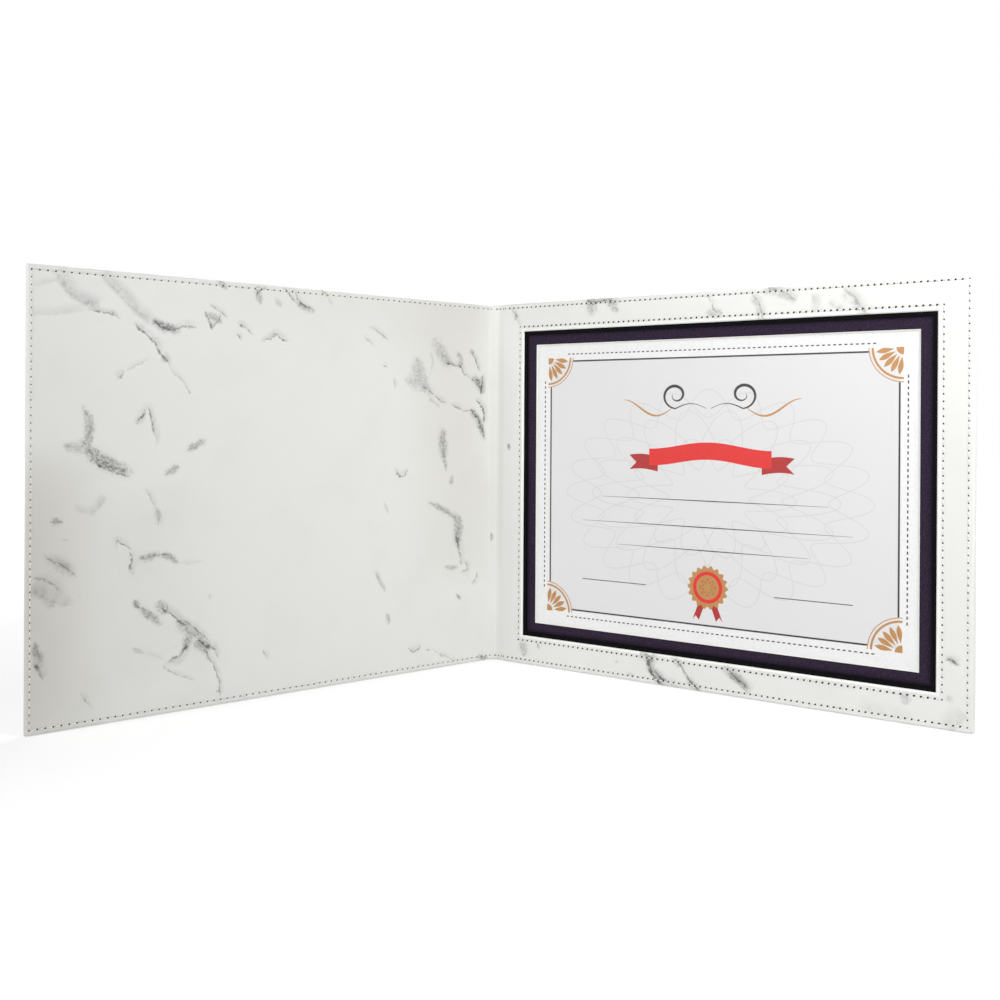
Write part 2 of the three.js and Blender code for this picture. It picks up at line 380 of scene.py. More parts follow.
def smooth_path(points: Path2, steps: int = 6) -> Array:
    """Carries a Catmull-Rom curve through given points.

    Args:
        points: two or more points.
        steps: samples between two points.

    Returns:
        Points along the curve, the first and last included.
    """
    knots = np.asarray(points, dtype=float)
    before = np.concatenate((2 * knots[:1] - knots[1:2], knots, 2 * knots[-1:] - knots[-2:-1]))
    t = np.linspace(0, 1, steps, endpoint=False)[None, :, None]
    a, b, c, d = (before[i : len(before) - 3 + i, None, :] for i in range(4))
    curve = b + 0.5 * t * (c - a + t * (2 * a - 5 * b + 4 * c - d + t * (3 * (b - c) + d - a)))
    return np.concatenate((curve.reshape(-1, 2), knots[-1:]))


@dataclass(frozen=True)
class Vein:
    """One vein of the marble print, on the unrolled sheet.

    Attributes:
        kind: how it looks.
        half_width: half its width in millimetres.
        tone: its strength, from 0 to 1.
        points: its course: distance from the spine's middle, left below zero, and height, in millimetres.
    """

    kind: VeinKind
    half_width: float
    tone: float
    points: tuple[tuple[float, float], ...]

    @classmethod
    def drawn(cls, kind: VeinKind, half_width: float, tone: float, *points: tuple[float, float]) -> "Vein":
        """Gives a vein of that kind through those points."""
        return cls(kind, half_width, tone, points)

    def moved(self, along: Callable[[float], float], up: Callable[[float], float]) -> "Vein":
        """Gives the same vein at another place of the sheet."""
        return Vein(self.kind, self.half_width, self.tone, tuple((along(s), up(z)) for s, z in self.points))

    def measure(self, s: Array, z: Array) -> tuple[Array, Array, Array]:
        """Measures points against the vein's course.

        Args:
            s: distance along the unrolled sheet.
            z: height.

        Returns:
            Signed distance to the nearest stretch of the course, and a taper that falls to nothing at both
            ends of it, for each point that is near enough to matter, and those points' numbers.
        """
        path = smooth_path(self.points)
        reach = max(FAR_OFFSET, 2.5 * self.half_width)
        low, high = path.min(axis=0) - reach, path.max(axis=0) + reach
        near = np.flatnonzero((s > low[0]) & (s < high[0]) & (z > low[1]) & (z < high[1]))
        start, step = path[:-1], np.diff(path, axis=0)
        length = np.maximum(np.linalg.norm(step, axis=1), 1e-6)
        away = np.stack((s[near], z[near]), axis=-1)[:, None, :] - start
        along = np.clip(np.einsum("mkj,kj->mk", away, step) / length**2, 0, 1)
        distance = np.linalg.norm(away - along[..., None] * step, axis=-1)
        best = distance.argmin(axis=1)
        row = np.arange(len(near))
        side = np.sign(step[best, 0] * away[row, best, 1] - step[best, 1] * away[row, best, 0])
        before = np.concatenate(([0], np.cumsum(length)[:-1]))
        run = (before[best] + along[row, best] * length[best]) / length.sum()
        taper = 1 - np.abs(2 * run - 1) ** 4
        return distance[row, best] * np.where(side == 0, 1, side), taper, near


# A fine dark line, a soft grey streak, a stippled broken patch, and a broad cloud of painted shade under the
# others.
line, streak, grain, cloud = (partial(Vein.drawn, kind) for kind in VeinKind)

PLAIN_COVER_VEINS: tuple[Vein, ...] = (
    # These clouds are painted shade: down the cover's outer edge and outer part, beside the spine and along
    # the top.
    cloud(28, 0.55, (-306, 152), (-306, 110), (-306, 60), (-306, 20), (-306, -15)),
    cloud(30, 0.14, (-252, 128), (-246, 80), (-238, 15)),
    cloud(38, 0.26, (-30, 268), (-35, 215), (-34, 170), (-28, 110), (-24, 50)),
    cloud(28, 0.16, (-5, 243), (-80, 240), (-150, 240), (-235, 244)),
    streak(3.2, 0.3, (-295, 240), (-291, 234), (-286, 228), (-280, 225), (-272, 224)),
    streak(2.0, 0.14, (-310, 217), (-296, 218), (-281, 221)),
    streak(1.5, 0.15, (-307, 231), (-294, 235)),
    line(0.5, 0.6, (-280, 220), (-273, 219), (-267, 218), (-262, 216)),
    line(0.4, 0.4, (-267, 220), (-264, 217)),
    streak(3, 0.3, (-271, 241), (-267, 236), (-260, 230), (-252, 222), (-244, 216)),
    grain(2.1, 0.75, (-247, 218), (-238, 213), (-226, 211)),
    line(0.6, 0.5, (-244, 217), (-238, 212), (-231, 211)),
    line(0.7, 0.6, (-231, 212), (-224, 214), (-218, 213)),
    line(0.7, 0.75, (-255, 214), (-250, 210), (-244, 205), (-240, 199), (-237, 196), (-234, 191)),
    line(0.4, 0.35, (-234, 191), (-226, 182), (-222, 177)),
    grain(0.9, 0.45, (-223, 178), (-222, 176)),
    grain(1.4, 0.4, (-239, 197), (-235, 193)),
    line(0.6, 0.6, (-263, 183), (-259, 188)),
    line(0.4, 0.25, (-259, 188), (-253, 191), (-246, 195)),
    grain(2.2, 0.6, (-283, 171), (-279, 163), (-278, 155), (-280, 147), (-277, 142)),
    grain(3.2, 0.75, (-285, 153), (-276, 143), (-268, 138), (-261, 135), (-252, 132)),
    line(0.6, 0.45, (-277, 141), (-270, 136), (-263, 133), (-256, 131)),
    grain(2.2, 0.45, (-279, 145), (-286, 147), (-293, 149)),
    line(0.6, 0.65, (-253, 159), (-250, 163), (-247, 168), (-245, 164), (-243, 157), (-241, 148)),
    grain(1.5, 0.4, (-253, 159), (-248, 165)),
    grain(1.7, 0.7, (-225, 144), (-218, 148), (-211, 151)),
    grain(1.5, 0.6, (-238, 131), (-232, 134), (-228, 138)),
    line(0.8, 0.85, (-213, 223), (-212, 219), (-209, 213)),
    line(0.5, 0.5, (-209, 214), (-206, 218), (-203, 222)),
    grain(1.6, 0.45, (-213, 222), (-208, 220), (-202, 217)),
    line(0.5, 0.6, (-211, 227), (-206, 224), (-200, 220)),
    line(0.6, 0.65, (-194, 218), (-189, 215), (-184, 211)),
    line(0.5, 0.5, (-194, 212), (-191, 208)),
    line(0.6, 0.65, (-178, 208), (-172, 210), (-169, 213), (-166, 210), (-160, 209)),
    line(0.5, 0.45, (-181, 231), (-181, 236), (-175, 240)),
    grain(1.5, 0.55, (-182, 241), (-180, 235), (-179, 228)),
    grain(1.4, 0.35, (-170, 234), (-167, 231), (-165, 228)),
    grain(1.3, 0.6, (-207, 242), (-203, 239), (-199, 236)),
    grain(1.0, 0.5, (-139, 242), (-136, 239), (-133, 237)),
    line(0.7, 0.6, (-165, 240), (-161, 238), (-158, 234), (-153, 230)),
    line(0.6, 0.55, (-158, 240), (-154, 234), (-151, 231), (-145, 229)),
    grain(1.5, 0.6, (-156, 232), (-148, 229), (-141, 228)),
    streak(0.9, 0.22, (-134, 237), (-130, 232)),
    line(0.45, 0.45, (-103, 221), (-96, 217), (-89, 213)),
    line(0.5, 0.35, (-109, 215), (-100, 209)),
    line(0.5, 0.45, (-85, 189), (-84, 183)),
    line(0.5, 0.4, (-93, 197), (-90, 196)),
    grain(3.6, 0.45, (-54, 219), (-50, 211), (-44, 203), (-36, 198)),
    grain(4.4, 0.42, (-68, 206), (-66, 196), (-62, 186), (-56, 178)),
    grain(1.4, 0.4, (-69, 204), (-67, 200), (-66, 194)),
    streak(4, 0.2, (-75, 192), (-65, 183)),
    line(0.4, 0.3, (-56, 207), (-55, 199), (-57, 192)),
    line(0.7, 0.5, (-62, 185), (-55, 180), (-49, 176), (-43, 173)),
    line(0.5, 0.35, (-59, 181), (-54, 174), (-48, 171)),
    line(0.6, 0.55, (-39, 173), (-34, 171), (-30, 169)),
    line(0.4, 0.45, (-30, 169), (-24, 169), (-18, 169)),
    grain(2.2, 0.68, (-25, 171), (-18, 165), (-14, 158), (-10, 147)),
    line(0.6, 0.45, (-22, 169), (-17, 164), (-14, 158), (-11, 150)),
    line(0.8, 0.85, (-19, 176), (-14, 173), (-11, 167), (-11, 161)),
    line(0.6, 0.6, (-45, 201), (-37, 199), (-31, 198), (-29, 194), (-22, 191)),
    grain(1.5, 0.5, (-36, 209), (-31, 203), (-34, 196)),
    line(0.6, 0.65, (-24, 209), (-20, 205), (-15, 196)),
    grain(1.0, 0.55, (-23, 211), (-20, 206)),
    grain(2.4, 0.7, (-24, 192), (-16, 188), (-12, 179)),
    line(0.7, 0.7, (-13, 194), (-13, 187), (-14, 180)),
    line(0.6, 0.6, (-22, 191), (-18, 187), (-14, 183)),
    grain(2.6, 0.7, (-45, 159), (-46, 151), (-45, 141), (-44, 134)),
    grain(1.2, 0.5, (-45, 142), (-44, 135), (-43, 127)),
    line(0.6, 0.6, (-84, 131), (-79, 126), (-73, 131)),
    grain(1.2, 0.5, (-37, 127), (-40, 119)),
    streak(1.8, 0.25, (-279, 113), (-274, 116), (-270, 122)),
    streak(1.5, 0.15, (-286, 116), (-274, 112)),
    grain(1.5, 0.75, (-299, 109), (-295, 109), (-291, 109)),
    grain(0.8, 0.35, (-291, 100), (-290, 98)),
    line(0.6, 0.28, (-301, 91), (-296, 88), (-292, 86), (-287, 82), (-284, 79)),
    grain(2.8, 0.24, (-303, 93), (-293, 86), (-284, 78)),
    streak(2.5, 0.18, (-296, 90), (-290, 86), (-285, 82)),
    grain(0.7, 0.5, (-283, 70), (-282, 68)),
    line(0.8, 0.38, (-307, 81), (-301, 79), (-296, 76), (-292, 72)),
    streak(5, 0.26, (-307, 78), (-299, 73), (-293, 67)),
    streak(3, 0.2, (-294, 67), (-287, 69)),
    grain(1.6, 0.55, (-305, 49), (-305, 43), (-303, 40), (-303, 36)),
    line(0.9, 0.7, (-306, 37), (-304, 34), (-302, 28)),
    streak(2.5, 0.2, (-304, 44), (-303, 34)),
    line(0.5, 0.6, (-263, 93), (-263, 97), (-259, 94), (-255, 92)),
    line(0.7, 0.65, (-256, 91), (-255, 86), (-256, 81), (-254, 78)),
    grain(1.6, 0.7, (-253, 86), (-246, 87), (-241, 88), (-237, 87)),
    grain(1.5, 0.7, (-241, 87), (-235, 87), (-228, 82)),
    line(0.4, 0.18, (-230, 83), (-222, 82), (-213, 82)),
    grain(1.5, 0.5, (-242, 115), (-240, 109), (-240, 103)),
    line(0.5, 0.35, (-249, 124), (-245, 120), (-242, 114)),
    grain(1.6, 0.8, (-254, 65), (-252, 62), (-250, 59)),
    grain(1.8, 0.68, (-252, 61), (-246, 56), (-242, 53), (-237, 48)),
    grain(2.6, 0.5, (-240, 64), (-238, 59), (-235, 54)),
    line(0.8, 0.6, (-239, 59), (-235, 56), (-230, 52), (-225, 48), (-222, 45)),
    grain(2.8, 0.48, (-231, 52), (-222, 44), (-211, 38)),
    line(0.5, 0.5, (-228, 52), (-221, 47), (-214, 41), (-209, 36)),
    grain(2.0, 0.68, (-221, 42), (-223, 38), (-226, 33)),
    line(0.9, 0.65, (-222, 38), (-227, 31), (-232, 30), (-235, 28)),
    line(0.4, 0.35, (-235, 28), (-236, 25), (-228, 20), (-218, 16)),
    line(0.7, 0.55, (-220, 42), (-214, 36), (-208, 33), (-204, 27)),
    line(0.5, 0.5, (-218, 38), (-212, 31), (-207, 22), (-204, 14), (-203, 4)),
    grain(1, 0.6, (-205, 9), (-203, 7)),
    streak(2.6, 0.3, (-219, 38), (-210, 31)),
    grain(1.8, 0.5, (-220, 40), (-213, 36), (-207, 31)),
    grain(1, 0.45, (-256, 39), (-252, 37), (-247, 35)),
    line(0.4, 0.2, (-247, 35), (-236, 30)),
    line(0.5, 0.35, (-282, 18), (-279, 13), (-276, 9)),
    grain(0.8, 0.3, (-210, 64), (-209, 60)),
    line(0.6, 0.35, (-176, 28), (-175, 25), (-173, 22)),
    streak(0.9, 0.25, (-92, 111), (-88, 103)),
    grain(1.6, 0.65, (-60, 110), (-50, 106), (-40, 101), (-33, 96)),
    grain(2.9, 0.7, (-39, 103), (-33, 95), (-33, 87), (-34, 76)),
    line(1.0, 0.55, (-35, 86), (-32, 77), (-30, 66)),
    grain(1.2, 0.5, (-45, 66), (-38, 65), (-31, 65)),
    line(0.6, 0.5, (-27, 69), (-25, 64), (-30, 61)),
    line(0.6, 0.5, (-17, 61), (-18, 56), (-21, 53)),
    grain(1.1, 0.65, (-34, 48), (-32, 45), (-29, 43)),
    streak(1.2, 0.4, (-98, 68), (-94, 60), (-90, 54)),
    grain(1.3, 0.5, (-90, 41), (-88, 36), (-89, 32)),
    line(0.6, 0.55, (-73, 16), (-69, 13), (-65, 14), (-63, 17)),
    line(0.5, 0.45, (-58, 13), (-55, 12)),
    line(0.5, 0.3, (-54, 13), (-43, 7), (-31, 1)),
    grain(1.5, 0.7, (-17, 4), (-11, 2), (-5, 2)),
    grain(1.0, 0.75, (-3, 87), (-3, 80)),
)

WINDOW_COVER_VEINS: tuple[Vein, ...] = (
    grain(1.0, 0.65, (12, 148), (13, 142)),
    line(0.5, 0.42, (14, 239), (19, 231), (22, 226)),
    grain(1.3, 0.5, (16, 237), (18, 233), (18, 229)),
    grain(3.0, 0.5, (74, 242), (77, 236), (78, 229)),
    streak(3.2, 0.24, (72, 241), (84, 241), (98, 240)),
    grain(2.2, 0.5, (87, 241), (93, 236), (97, 230)),
    line(0.6, 0.5, (72, 241), (80, 238), (88, 240), (95, 237)),
    line(0.6, 0.4, (157, 239), (161, 233), (163, 228)),
    grain(2.2, 0.5, (156, 229), (162, 227), (169, 228)),
    line(1.0, 0.36, (194, 241), (201, 239), (207, 236), (213, 232)),
    streak(3.2, 0.26, (193, 241), (204, 238), (214, 233)),
    streak(2.6, 0.28, (187, 237), (191, 230), (193, 221)),
    line(0.5, 0.4, (186, 238), (191, 231), (194, 221)),
    streak(2.6, 0.24, (225, 236), (225, 225)),
    streak(2.2, 0.22, (232, 231), (241, 226)),
    line(1.2, 0.32, (240, 238), (246, 232), (250, 226), (256, 220)),
    streak(3.6, 0.2, (241, 237), (249, 229), (254, 221)),
    grain(2.6, 0.5, (22, 15), (26, 10), (25, 4)),
    line(0.6, 0.42, (36, 15), (38, 11)),
    grain(0.9, 0.4, (96, 12), (98, 9)),
    grain(1.0, 0.45, (104, 5), (110, 3)),
    grain(2.6, 0.6, (112, 19), (119, 16), (122, 9)),
    line(1.1, 0.6, (119, 14), (122, 7), (128, 1), (134, -2)),
    line(0.8, 0.5, (122, 11), (128, 5), (137, 1), (143, -2)),
    streak(2.6, 0.3, (126, 20), (121, 11), (130, 1)),
    grain(1.7, 0.45, (135, 19), (139, 16), (142, 12)),
    line(0.8, 0.5, (138, 17), (143, 12), (148, 5), (154, 0)),
    grain(1.9, 0.5, (145, 8), (150, 3), (157, -1)),
    streak(3.0, 0.3, (169, 18), (178, 12), (188, 5)),
    grain(2.2, 0.45, (171, 16), (180, 10), (187, 5)),
    line(0.6, 0.4, (170, 17), (177, 12), (184, 6)),
    streak(3.0, 0.1, (250, 8), (264, 6), (280, 4)),
    grain(2.2, 0.4, (272, 15), (279, 12)),
    streak(4.0, 0.16, (296, 1), (305, 12)),
    grain(1.4, 0.4, (297, 19), (300, 15)),
    line(0.9, 0.42, (296, 38), (300, 37), (303, 35)),
    grain(1.4, 0.35, (295, 39), (300, 37), (304, 35)),
)


@dataclass(frozen=True)
class MarblePrint:
    """The marble print of one sheet, worked out at its vertices.

    Attributes:
        veins: the veins that lie on it.
        clear: the distance wanted between two fine lines of a layer, in millimetres.
    """

    veins: tuple[Vein, ...]
    clear: float = 9.0

    def of_kind(self, kind: VeinKind) -> list[Vein]:
        """Gives the veins of one kind."""
        return [vein for vein in self.veins if vein.kind is kind]

    def layers(self) -> list[list[Vein]]:
        """Shares the fine lines among layers, so that no two lines of a layer come close.

        Returns:
            The lines of each layer.
        """
        shared: list[list[Vein]] = [[] for _ in LINE_LAYERS]
        for vein in self.of_kind(VeinKind.LINE):
            path = smooth_path(vein.points, 3)[:, None]
            gaps = []
            for layer in shared:
                others = (smooth_path(other.points, 3)[None] for other in layer)
                closest = (np.linalg.norm(path - other, axis=-1).min() for other in others)
                gaps.append(min(closest, default=self.clear))
            free = (number for number, gap in enumerate(gaps) if gap >= self.clear)
            shared[next(free, int(np.argmax(gaps)))].append(vein)
        return shared

    def fields(self, s: Array, z: Array) -> dict[str, Array]:
        """Works out the print's values at points of the unrolled sheet.

        Args:
            s: distance along the sheet from the spine's middle.
            z: height.

        Returns:
            For each layer of lines the signed distance, half width and tone. For the soft streaks and the
            stippled patches the cover, the tone and the signed distance in half widths. For the clouds of
            painted shade the sum of their strengths.
        """
        s, z = s.ravel(), z.ravel()
        values: dict[str, Array] = {}
        for label, layer in zip(LINE_LAYERS, self.layers()):
            values[label] = np.tile((FAR_OFFSET, 0.5, 0.0), (len(s), 1))
            for vein in layer:
                offset, taper, near = vein.measure(s, z)
                closer = np.abs(offset) < np.abs(values[label][near, 0])
                tone = vein.tone * np.sqrt(taper) * np.clip(2 - np.abs(offset) / (0.5 * FAR_OFFSET), 0, 1)
                new = np.stack((offset, vein.half_width * (0.5 + 0.5 * taper), tone), axis=-1)
                values[label][near[closer]] = new[closer]
        for kind in (VeinKind.STREAK, VeinKind.GRAIN):
            values[kind.value] = cover = np.zeros((len(s), 3))
            for vein in self.of_kind(kind):
                offset, taper, near = vein.measure(s, z)
                ends = 1 - np.sqrt(1 - taper) if kind is VeinKind.GRAIN else np.sqrt(taper)
                share = kind.cover(offset / vein.half_width) * ends
                fuller = share * vein.tone > cover[near, 0] * cover[near, 1]
                new = np.stack((share, np.full(len(near), vein.tone), offset / vein.half_width), axis=-1)
                cover[near[fuller]] = new[fuller]
        # The clouds of painted shade add up.
        values["cloud"] = np.zeros(len(s))
        for vein in self.of_kind(VeinKind.CLOUD):
            offset, taper, near = vein.measure(s, z)
            values["cloud"][near] += vein.kind.cover(offset / vein.half_width) * taper * vein.tone
        return values


def linear(colour: str) -> tuple[float, float, float, float]:
    """Turns an sRGB hex colour into linear red, green, blue and a full alpha."""
    parts = [int(colour[i : i + 2], 16) / 255 for i in (1, 3, 5)]
    return (*(p / 12.92 if p <= 0.04045 else ((p + 0.055) / 1.055) ** 2.4 for p in parts), 1.0)


def per_mm(size: float) -> float:
    """Gives the texture scale at which one feature of a pattern spans that many millimetres."""
    return 1 / (size * MM)


def add(
    tree: bpy.types.NodeTree, kind: Op | str, *values: object, sockets: dict | None = None, **settings: object
) -> bpy.types.Node:
    """Adds one shader node with its settings and links.

    Args:
        tree: the material's or world's nodes.
        kind: the node's type name, or an operation.
        values: values of the first sockets in order, or the nodes or outputs that are linked to them.
        sockets: the same for sockets given by name or number.
        settings: the node's own properties.

    Returns:
        The new node.
    """
    if isinstance(kind, Op):
        kind, label, choice = kind.value
        settings[label] = choice
    made = tree.nodes.new(kind)
    for label, value in settings.items():
        setattr(made, label, value)
    for label, value in (dict(enumerate(values)) | (sockets or {})).items():
        if isinstance(value, bpy.types.Node):
            value = value.outputs[0]
        if isinstance(value, bpy.types.NodeSocket):
            tree.links.new(value, made.inputs[label])
        else:
            made.inputs[label].default_value = value
    return made


@dataclass(frozen=True)
class Finish:
    """A finish with a principled shader.

    Attributes:
        name: the material's name.
        colour: its main colour in sRGB.
        roughness: its roughness.
        ior: its index of refraction.
        gloss: its specular level, below one half where nap or fibres break the reflection up.
    """

    name: str
    colour: str
    roughness: float = 0.6
    ior: float = 1.5
    gloss: float = 0.5

    def material(self) -> Material:
        """Makes the material from the plain values and the finish's own pattern.

        Returns:
            The new material.
        """
        material = bpy.data.materials.new(self.name)
        material.use_nodes = True
        tree = material.node_tree
        tree.nodes.clear()
        plain = {"Roughness": self.roughness, "IOR": self.ior, "Specular IOR Level": self.gloss}
        shader = add(tree, "ShaderNodeBsdfPrincipled", sockets=plain | self.pattern(tree))
        add(tree, "ShaderNodeOutputMaterial", sockets={"Surface": shader})
        return material

    def pattern(self, tree: bpy.types.NodeTree) -> dict[str, object]:
        """Adds the finish's pattern and gives what it links to the shader, by socket."""
        raise NotImplementedError


@dataclass(frozen=True)
class MarbledLeatherette(Finish):
    """Polyurethane leatherette, cast on release paper and gravure printed with grey marble veins.

    The print gives thin wandering lines, stippled patches and soft streaks on a cool white. The coating's
    pebble grain is about half a millimetre, drawn at nearly twice that so that it shows, and gives a satin
    sheen.

    Attributes:
        vein: colour of the print at full strength.
        cloud: colour of the faint clouding of the white, and of the shade painted by the sheet's own clouds.
        bead_highlight: colour of the highlight painted along the window's bead, whiter than the rest.
        clouding: strength of the clouding.
        grain: width of the pebbles in millimetres.
        fullest: most that the print covers the white.
    """

    vein: str = "#4E4E4C"
    cloud: str = "#C4BEB6"
    bead_highlight: str = "#FCFCFA"
    clouding: float = 0.08
    grain: float = 0.95
    fullest: float = 0.92

    def pattern(self, tree: bpy.types.NodeTree) -> dict[str, object]:
        """Adds the print and the grain, on the unrolled sheet's own map and print values.

        A fine line is a dark core at a wandering distance from its course, with a shade that fades to one
        side. A stippled patch is specks, cracks and a haze where ragged noise leaves it. A streak is a soft
        sweep with a cracked rim. The sheet's own clouds add painted shade, and its bead values add a painted
        highlight.

        Args:
            tree: the material's nodes.

        Returns:
            The colour and the bump.
        """
        put = partial(add, tree)
        sheet = put("ShaderNodeUVMap", uv_map="sheet")
        # Feature size in millimetres, detail and roughness of each noise.
        noises = {
            "wander": (5.0, 4.0, 0.65),
            "swell": (5.0, 2.0, 0.5),
            "breaks": (3.0, 4.0, 0.7),
            "soft": (9.0, 4.0, 0.65),
            "ragged": (4.0, 5.0, 0.75),
            "speck": (1.7, 4.0, 0.8),
            "contour": (7.0, 3.0, 0.6),
            "swept": (6.0, 5.0, 0.7),
            "clouds": (45.0, 4.0, 0.6),
            "pebble": (0.8, 2.0, 0.5),
        }
        noise = {}
        for label, (size, detail, rough) in noises.items():
            values = {"Vector": sheet, "Scale": per_mm(size), "Detail": detail, "Roughness": rough}
            noise[label] = put(Op.FLAT_NOISE, sockets=values)
        printed = {}
        for label in (*LINE_LAYERS, "grain", "streak"):
            stored = put("ShaderNodeAttribute", attribute_name=label)
            printed[label] = put("ShaderNodeSeparateXYZ", stored.outputs["Vector"]).outputs

        wander = put(Op.TIMES_PLUS, noise["wander"], 3.4, -1.7)
        swell = put(Op.TIMES_PLUS, noise["swell"], 1.5, 0.25)
        breaks = put(Op.STEP, noise["breaks"], 0.34, 0.60, 0.1, 1.0)
        soft = put(Op.STEP, noise["soft"], 0.32, 0.68, 0.3, 1.15)
        total: object = 0.0
        for label in LINE_LAYERS:
            offset, width, tone = printed[label]
            ratio = put(Op.OVER, put(Op.SUM, offset, wander), put(Op.TIMES, width, swell))
            core = put(Op.TIMES, put(Op.STEP, put(Op.SIZE, ratio), 0.2, 1.4, 1.0, 0.0), breaks)
            rise, fade = put(Op.STEP, ratio, -1.5, 0.5, 0.0, 1.0), put(Op.STEP, ratio, 0.5, 8.0, 0.34, 0.0)
            shade = put(Op.TIMES_PLUS, put(Op.TIMES, rise, fade), soft, core)
            total = put(Op.TIMES_PLUS, shade, tone, total)

        cover, tone, ratio = printed["grain"]
        torn = put(Op.STEP, put(Op.TIMES_PLUS, noise["ragged"], 1.1, cover), 0.86, 1.3, 0.0, 1.0)
        speck = put(Op.STEP, noise["speck"], 0.38, 0.64, 0.18, 0.62)
        contour = put(Op.SIZE, put(Op.LESS, noise["contour"], 0.5))
        crack = put(Op.TIMES, put(Op.STEP, contour, 0.0, 0.04, 0.5, 0.0), breaks)
        thread = put(Op.STEP, put(Op.SIZE, put(Op.SUM, ratio, wander)), 0.05, 0.5, 0.5, 0.0)
        fringe = put(Op.MOST, crack, put(Op.TIMES, thread, breaks))
        fringe = put(Op.TIMES, fringe, put(Op.STEP, cover, 0.1, 0.5, 0.0, 1.0))
        haze = put(Op.STEP, cover, 0.02, 0.55, 0.0, 0.13)
        patch = put(Op.TIMES_PLUS, haze, soft, put(Op.TIMES_PLUS, torn, speck, fringe))
        total = put(Op.TIMES_PLUS, patch, tone, total)

        cover, tone, ratio = printed["streak"]
        swept = put(Op.TIMES, cover, put(Op.STEP, noise["swept"], 0.3, 0.66, 0.5, 1.1))
        beside = put(Op.SUM, put(Op.SUM, ratio, 0.8), wander)
        rim = put(Op.TIMES, put(Op.STEP, put(Op.SIZE, beside), 0.0, 0.45, 0.7, 0.0), breaks)
        smear = put(Op.TIMES_PLUS, rim, cover, swept)
        total = put(Op.LEAST, put(Op.TIMES_PLUS, smear, tone, total), self.fullest)

        # Painted shade: the sheet's own clouds, added to the marble's noise clouding, darken it towards the
        # cloud colour.
        painted_shade_share = put("ShaderNodeAttribute", attribute_name="cloud").outputs["Fac"]
        clouds = put(Op.STEP, noise["clouds"], 0.45, 0.8, 0.0, 1.0)
        clouds = put(Op.TIMES_PLUS, clouds, self.clouding, painted_shade_share)
        # Painted highlight: the sheet is whitened along the window's bead.
        bead_highlight_share = put("ShaderNodeAttribute", attribute_name="bead").outputs["Fac"]
        shown: object = linear(self.colour)
        for share, colour in ((clouds, self.cloud), (bead_highlight_share, self.bead_highlight), (total, self.vein)):
            shown = put(Op.BLEND, sockets={0: share, 6: shown, 7: linear(colour)}).outputs[2]
        cells = {"Vector": sheet, "Scale": per_mm(self.grain)}
        pebble = put("ShaderNodeTexVoronoi", sockets=cells, voronoi_dimensions="2D")
        height = put(Op.TIMES_PLUS, noise["pebble"], 0.6, pebble.outputs["Distance"])
        relief = {"Strength": 0.25, "Distance": 0.06 * MM, "Height": height}
        return {"Base Color": shown, "Normal": put("ShaderNodeBump", sockets=relief)}


@dataclass(frozen=True)
class SewingThread(Finish):
    """Bonded polyester sewing thread, twisted from two plies, which gives a soft sheen and fine slanted ribs.

    Attributes:
        ply_gap_shade: colour of the shade painted between the plies.
        rib: scale of the plies' ribs, drawn coarse so that they show.
    """

    ply_gap_shade: str = "#DCDCD6"
    rib: float = 3.0

    def pattern(self, tree: bpy.types.NodeTree) -> dict[str, object]:
        """Adds the plies' ribs, on Object coordinates.

        Args:
            tree: the material's nodes.

        Returns:
            The colour and the bump.
        """
        place = add(tree, "ShaderNodeTexCoord").outputs["Object"]
        values = {"Vector": place, "Scale": per_mm(self.rib), "Distortion": 1.0}
        ribs = add(tree, "ShaderNodeTexWave", sockets=values, bands_direction="DIAGONAL").outputs[1]
        # Painted shade: the thread darkens between the plies' ribs.
        shade = add(tree, Op.BLEND, sockets={0: ribs, 6: linear(self.ply_gap_shade), 7: linear(self.colour)})
        relief = {"Strength": 0.3, "Distance": 0.05 * MM, "Height": ribs}
        return {"Base Color": shade.outputs[2], "Normal": add(tree, "ShaderNodeBump", sockets=relief)}


@dataclass(frozen=True)
class SpeckledBoard(Finish):
    """Pressed board or card, whose fibres give a fine speckle and a matt, slightly uneven face.

    Attributes:
        fleck: the colour of the lighter fibres.
        fleck_size: spacing of the fibres in millimetres.
        relief: depth of the face's unevenness in millimetres.
        painted_lip_shadow: colour of the shadow painted beside a lip, where the piece's own values of that
            name are one.
    """

    fleck: str = "#000000"
    fleck_size: float = 1.2
    relief: float = 0.05
    painted_lip_shadow: str = "#060507"

    def pattern(self, tree: bpy.types.NodeTree) -> dict[str, object]:
        """Adds the flecks, on Object coordinates.

        Args:
            tree: the material's nodes.

        Returns:
            The colour and the bump.
        """
        place = add(tree, "ShaderNodeTexCoord").outputs["Object"]
        values = {"Vector": place, "Scale": per_mm(self.fleck_size), "Detail": 3.0, "Roughness": 0.7}
        fibres = add(tree, "ShaderNodeTexNoise", sockets=values)
        spots = add(tree, "ShaderNodeMapRange", fibres, 0.48, 0.68, 0.0, 1.0)
        # Painted shadow: the piece's own values darken it beside the lip.
        lip_shadow_share = add(tree, "ShaderNodeAttribute", attribute_name="painted_lip_shadow").outputs["Fac"]
        shown: object = linear(self.colour)
        for share, colour in ((spots, self.fleck), (lip_shadow_share, self.painted_lip_shadow)):
            shown = add(tree, Op.BLEND, sockets={0: share, 6: shown, 7: linear(colour)}).outputs[2]
        relief = {"Strength": 0.25, "Distance": self.relief * MM, "Height": fibres}
        return {"Base Color": shown, "Normal": add(tree, "ShaderNodeBump", sockets=relief)}


